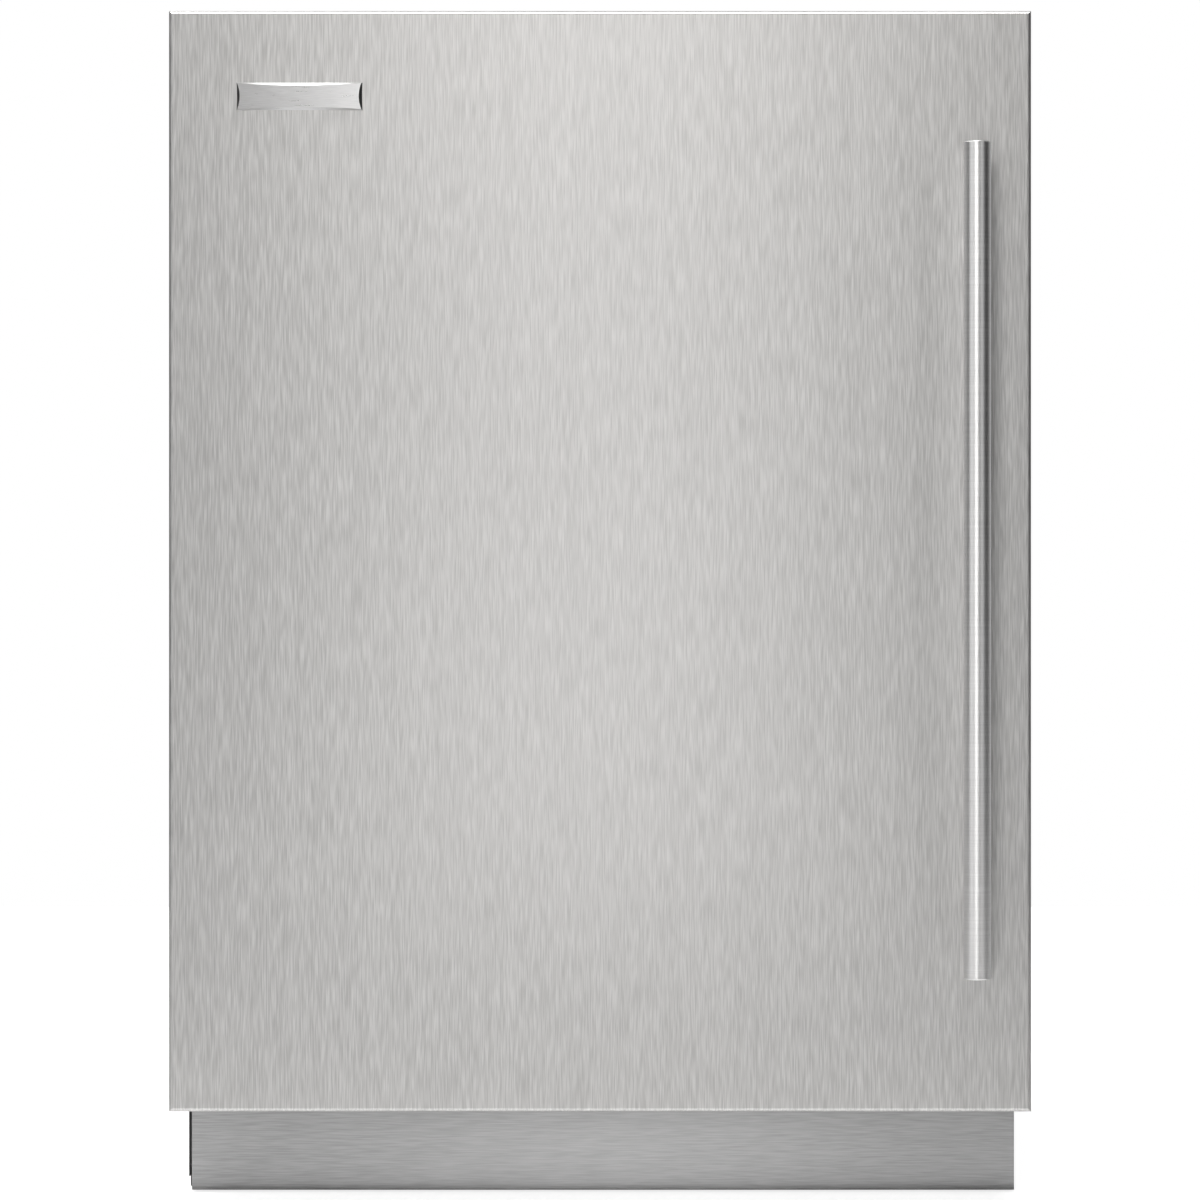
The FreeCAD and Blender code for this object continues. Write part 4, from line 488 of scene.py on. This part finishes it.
def make_gasket():
    """The door seal: a foot in the lining, folded bellows and a soft magnetic head.

    Its section is swept round the door with welded mitres at the corners.
    """
    low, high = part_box("door_gasket")
    section = [
        (3.5, 0.0),
        (3.2, 1.6),
        (1.6, 3.4),
        (1.4, 4.4),
        (3.4, 5.6),
        (1.8, 6.6),
        (0.5, 7.2),
        (0.0, 8.4),
        (0.1, 10.8),
        (1.0, 12.0),
        (3.0, 12.2),
        (8.0, 12.05),
        (13.2, 12.2),
        (15.2, 11.9),
        (16.0, 10.6),
        (15.8, 8.6),
        (14.8, 7.4),
        (12.6, 6.8),
        (11.2, 5.6),
        (13.4, 4.4),
        (13.2, 3.2),
        (12.0, 1.6),
        (12.2, 0.0),
    ]
    points, faces = [], []
    for inset, depth in section:
        u, y = inset * MM, low[1] + depth * MM
        left, right, bottom, top = low[0] + u, high[0] - u, low[2] + u, high[2] - u
        points += [(left, y, bottom), (right, y, bottom), (right, y, top), (left, y, top)]
    count = len(section)
    for k in range(count):
        a, b = 4 * k, 4 * ((k + 1) % count)
        for side in range(4):
            after = (side + 1) % 4
            faces.append((a + side, a + after, b + after, b + side))
    gasket = piece("gasket_profile", points, faces, "door", "gasket_grey")
    bevelled(gasket, GASKET_ROUNDING)
    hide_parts("door_gasket")


def make_louvre_hoods():
    """Pressed hoods over the rear cover's slots: each bulges out and stays open below."""
    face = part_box("rear_cover")[1][1]
    across, along = 12, 5
    points, faces = [], []
    for column in LOUVRE_COLUMNS:
        for row in range(LOUVRE_ROWS):
            top = LOUVRE_LOW + LOUVRE_PITCH * row + LOUVRE_HEIGHT + HOOD_ABOVE_SLOT
            start = len(points)
            for i in range(across + 1):
                u = 2 * i / across - 1
                bulge = HOOD_PROUD * (1 - abs(u) ** HOOD_SQUARENESS)
                for j in range(along + 1):
                    v = j / along
                    out = bulge * math.sin(v * math.pi / 2)
                    drop = v * (LOUVRE_HEIGHT + HOOD_EXTRA)
                    points.append((column + u * LOUVRE_HALF, face + out, top - drop))
            for i in range(across):
                for j in range(along):
                    a = start + i * (along + 1) + j
                    faces.append((a, a + 1, a + along + 2, a + along + 1))
    hoods = piece("louvre_hoods", points, faces, "cabinet", "galvanised_steel", smooth=True)
    solid = hoods.modifiers.new("sheet", "SOLIDIFY")
    solid.thickness = HOOD_SHEET
    solid.offset = 1


def stroke(path, half, front, depth):
    """A flat bar drawn along a path of (x, z), raised towards the reader."""
    points, faces = [], []
    for k, (x, z) in enumerate(path):
        before, after = path[max(k - 1, 0)], path[min(k + 1, len(path) - 1)]
        along = Vector((after[0] - before[0], after[1] - before[1])).normalized()
        side = Vector((-along.y, along.x)) * half
        for sign in (-1, 1):
            u, w = x + sign * side.x, z + sign * side.y
            points += [(u, front, w), (u, front - depth, w)]
    for k in range(len(path) - 1):
        a, b = 4 * k, 4 * k + 4
        faces += [(a + 1, a + 3, b + 3, b + 1), (a, b, b + 2, a + 2)]
        faces += [(a, a + 1, b + 1, b), (a + 2, b + 2, b + 3, a + 3)]
    last = 4 * (len(path) - 1)
    faces += [(0, 2, 3, 1), (last, last + 1, last + 3, last + 2)]
    return points, faces


def arc(centre, radius, start, end, steps=24):
    """Points round a part circle, from one angle to another in degrees from upright."""
    turns = [math.radians(start + (end - start) * k / steps) for k in range(steps + 1)]
    return [(centre[0] + radius * math.sin(t), centre[1] + radius * math.cos(t)) for t in turns]


def make_key_marks():
    """Raised marks on the keys: a broken ring with a bar, a minus and a plus."""
    reach, half, depth = 2.6 * MM, 0.35 * MM, 0.12 * MM
    bar_low, bar_past = 0.4 * MM, 0.6 * MM
    for key, mark in (("key_power", "power"), ("key_colder", "minus"), ("key_warmer", "plus")):
        low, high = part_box(key)
        x, z, front = (low[0] + high[0]) / 2, (low[2] + high[2]) / 2, low[1]
        flat = [(x - reach, z), (x + reach, z)]
        upright = [(x, z - reach), (x, z + reach)]
        paths = {
            "power": [
                arc((x, z), reach, 35, 325),
                [(x, z + bar_low), (x, z + reach + bar_past)],
            ],
            "minus": [flat],
            "plus": [flat, upright],
        }[mark]
        points, faces = merged([stroke(path, half, front, depth) for path in paths])
        piece(key + "_mark", points, faces, key + "_body", "dark_window")


def make_display_digit():
    """A lit seven-segment 4 and a degree ring on the display window."""
    low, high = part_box("display_window")
    front, z = low[1], (low[2] + high[2]) / 2
    half_w, half_h, half_stroke, proud = 2.2 * MM, 4.0 * MM, 0.45 * MM, 0.05 * MM
    gap, ring_out, ring_down, ring_radius = 0.5 * MM, 2.4 * MM, 0.8 * MM, 0.9 * MM
    left, right = -half_w, half_w
    segments = [
        [(left, z + gap), (left, z + half_h)],
        [(right, z + gap), (right, z + half_h)],
        [(right, z - half_h), (right, z - gap)],
        [(left + gap, z), (right - gap, z)],
        arc((right + ring_out, z + half_h - ring_down), ring_radius, 0, 360),
    ]
    points, faces = merged([stroke(path, half_stroke, front, proud) for path in segments])
    piece("display_digit", points, faces, "cabinet", "dark_window", material=lit_digit())


def rounded_plate(low, high, radius, back, front, steps=6):
    """A flat plate with round corners, seen along Y, between two depths."""
    outline = []
    for cx, cz, first in (
        (high[0] - radius, high[1] - radius, 0),
        (low[0] + radius, high[1] - radius, 90),
        (low[0] + radius, low[1] + radius, 180),
        (high[0] - radius, low[1] + radius, 270),
    ):
        for k in range(steps + 1):
            turn = math.radians(first + 90 * k / steps)
            outline.append((cx + radius * math.cos(turn), cz + radius * math.sin(turn)))
    count = len(outline)
    points = [(x, back, z) for x, z in outline] + [(x, front, z) for x, z in outline]
    faces = [tuple(range(count)), tuple(reversed(range(count, 2 * count)))]
    faces += [(k, k + count, (k + 1) % count + count, (k + 1) % count) for k in range(count)]
    return points, faces


def make_foil_plate():
    """A blank foil plate stuck to the back panel."""
    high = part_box("case_back_panel")[1]
    top, back = high[2] - FOIL_BELOW_TOP, high[1]
    first = (FOIL_MIDDLE - FOIL_HALF, top - FOIL_HEIGHT)
    last = (FOIL_MIDDLE + FOIL_HALF, top)
    points, faces = rounded_plate(first, last, FOIL_CORNER, back, back + FOIL_THICK)
    piece("foil_plate", points, faces, "cabinet", "aluminium")


def skirt_section(top, foot):
    """The skirt's outline from its outer face: down, round the fold and inward along the lip."""
    bend = 2 * SKIRT_SHEET
    tight = bend - SKIRT_SHEET
    outer = [(0.0, top)]
    inner = [(SKIRT_SHEET, top)]
    for k in range(SKIRT_FOLD_STEPS + 1):
        turn = math.pi / 2 * k / SKIRT_FOLD_STEPS
        across, down = 1 - math.cos(turn), math.sin(turn)
        outer.append((bend * across, foot + bend * (1 - down)))
        inner.append((bend - tight * math.cos(turn), foot + bend - tight * down))
    outer.append((SKIRT_LIP, foot))
    inner.append((SKIRT_LIP, foot + SKIRT_SHEET))
    return outer, inner


def make_side_skirts():
    """A black skirt under each side wall, from the kick plate back to the rear leg."""
    (left, _, wall_foot), (right, _, _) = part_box("case_wrapper")
    kick_low, kick_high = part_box("kick_plate")
    front = kick_high[1] + SKIRT_GAP
    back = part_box("back_left_leg")[0][1] - SKIRT_GAP
    outer, inner = skirt_section(wall_foot, kick_low[2])
    section = outer + inner[::-1]
    count = len(section)
    for name, edge, inward in (("skirt_left", left, 1), ("skirt_right", right, -1)):
        points, faces = [], []
        for y in (front, back):
            points += [(edge + inward * u, y, z) for u, z in section]
        for k in range(count):
            after = (k + 1) % count
            faces.append((k, after, after + count, k + count))
        for k in range(len(outer) - 1):
            a, b = count - 1 - k, count - 2 - k
            faces.append((k, k + 1, b, a))
            faces.append((k + count, a + count, b + count, k + 1 + count))
        piece(name, points, faces, "cabinet", "black_plastic")


def make_compressor_seam():
    """The weld bead round the compressor's shell."""
    low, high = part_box("compressor")
    x, y = (low[0] + high[0]) / 2, (low[1] + high[1]) / 2
    points, faces = [], []
    around, section = 64, 6
    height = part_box("compressor_mounts")[1][2] + SEAM_ABOVE_MOUNTS
    for i in range(around):
        turn = math.tau * i / around
        for j in range(section):
            tilt = math.tau * j / section
            reach = SEAM_RADIUS + SEAM_BEAD * math.cos(tilt)
            lift = SEAM_BEAD * math.sin(tilt)
            points.append((x + reach * math.cos(turn), y + reach * math.sin(turn), height + lift))
    for i in range(around):
        for j in range(section):
            a, b = i * section, (i + 1) % around * section
            k = (j + 1) % section
            faces.append((a + j, b + j, b + k, a + k))
    piece("compressor_weld", points, faces, "cabinet", "black_steel", smooth=True)


make_gasket()
make_louvre_hoods()
make_key_marks()
make_display_digit()
make_foil_plate()
make_side_skirts()
make_compressor_seam()


# ---- Studio ----------------------------------------------------------------------------------

PANEL_LOW, PANEL_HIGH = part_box("door_panel_skin")
CAMERA_REACH = 2.5
FRAME_WIDTH = 0.83875
CAMERA_SIDE = 0.0336
CAMERA_HEIGHT = 0.4274
SENSOR = 36.0


def make_camera():
    """A long lens square to the door, a little to the right of its middle."""
    data = bpy.data.cameras.new("camera")
    data.sensor_width = SENSOR
    data.lens = SENSOR * CAMERA_REACH / FRAME_WIDTH
    data.shift_x = -CAMERA_SIDE / FRAME_WIDTH
    data.clip_end = 50
    camera = bpy.data.objects.new("camera", data)
    camera.location = (CAMERA_SIDE, PANEL_LOW[1] - CAMERA_REACH, CAMERA_HEIGHT)
    camera.rotation_euler = (math.pi / 2, 0, 0)
    bpy.context.scene.collection.objects.link(camera)
    bpy.context.scene.camera = camera


def make_light(name, place, target, width, height, power, colour=(1, 1, 1)):
    """A rectangular soft light aimed at a point."""
    data = bpy.data.lights.new(name, "AREA")
    data.shape = "RECTANGLE"
    data.size = width
    data.size_y = height
    data.energy = power
    data.color = colour
    light = bpy.data.objects.new(name, data)
    light.location = place
    aim = Vector(target) - Vector(place)
    light.rotation_euler = aim.to_track_quat("-Z", "Y").to_euler()
    light.visible_camera = False
    bpy.context.scene.collection.objects.link(light)


def make_floor():
    """A plain pale floor, lifted towards white where the camera sees it."""
    reach = 2.2
    corners = [(-reach, -reach, 0), (reach, -reach, 0), (reach, reach, 0), (-reach, reach, 0)]
    mesh = bpy.data.meshes.new("floor")
    mesh.from_pydata(corners, [], [(0, 1, 2, 3)])
    floor = bpy.data.objects.new("floor", mesh)
    bpy.context.scene.collection.objects.link(floor)
    paper = Surface("floor_pale", (0.82, 0.82, 0.82), 0.0, 0.9)
    pale = paper.tint(paper.noise((3, 3, 3)), 0.01)
    paper.link(pale, paper.shader.inputs["Emission Color"])
    path = paper.add("ShaderNodeLightPath")
    seen = paper.spread(path.outputs["Is Camera Ray"], 0.0, FLOOR_GLOW, 0.0, 1.0)
    paper.link(seen, paper.shader.inputs["Emission Strength"])
    mesh.materials.append(paper.material)


def make_world():
    """White to the camera. As light it comes only from behind the object, stronger the further
    behind.
    """
    world = bpy.data.worlds.new("studio")
    bpy.context.scene.world = world
    world.use_nodes = True
    tree = world.node_tree
    coords = tree.nodes.new("ShaderNodeTexCoord")
    split = tree.nodes.new("ShaderNodeSeparateXYZ")
    behind = tree.nodes.new("ShaderNodeMapRange")
    behind.inputs["From Min"].default_value = 0.0
    behind.inputs["From Max"].default_value = 1.0
    behind.inputs["To Min"].default_value = 0.0
    behind.inputs["To Max"].default_value = BEHIND_OBJECT
    path = tree.nodes.new("ShaderNodeLightPath")
    pick = tree.nodes.new("ShaderNodeMix")
    pick.inputs["B"].default_value = 1.0
    background = tree.nodes["Background"]
    background.inputs["Color"].default_value = (1, 1, 1, 1)
    tree.links.new(coords.outputs["Generated"], split.inputs["Vector"])
    tree.links.new(split.outputs["Y"], behind.inputs["Value"])
    tree.links.new(path.outputs["Is Camera Ray"], pick.inputs["Factor"])
    tree.links.new(behind.outputs["Result"], pick.inputs["A"])
    tree.links.new(pick.outputs["Result"], background.inputs["Strength"])


FLOOR_GLOW = 0.95
BEHIND_OBJECT = 0.7
MIDDLE = (0, PANEL_LOW[1], 0.5)
STRIP_Y = -0.315
UPPER = 0.75
WARM = (1.0, 0.975, 0.94)
PLAIN = (1.0, 0.993, 0.985)

make_camera()
make_floor()
make_world()
aim_front, aim_high = (-0.02, PANEL_LOW[1], UPPER), (0.03, PANEL_LOW[1], UPPER)
make_light("softbox_front", (-0.02, -1.65, UPPER), aim_front, 0.35, 1.4, 4.9, PLAIN)
make_light("softbox_high", (0.03, -1.65, 1.35), aim_high, 0.9, 0.7, 1.2, WARM)
make_light("softbox_left", (-1.6, -1.7, 0.9), MIDDLE, 1.5, 1.8, 7.7)
make_light("softbox_right", (1.5, -2.1, 0.9), MIDDLE, 0.9, 1.8, 3.9)
make_light("softbox_top", (-0.2, -0.9, 2.6), (0, 0, 0.6), 1.8, 1.4, 50, PLAIN)
make_light("softbox_back", (-1.2, 2.4, 2.0), (0, 0, 0.4), 1.6, 1.2, 24)
make_light("strip_low", (0, STRIP_Y, 0.004), (0, STRIP_Y, 1), 0.80, 0.22, 0.27)
bpy.context.scene.view_settings.view_transform = "Standard"
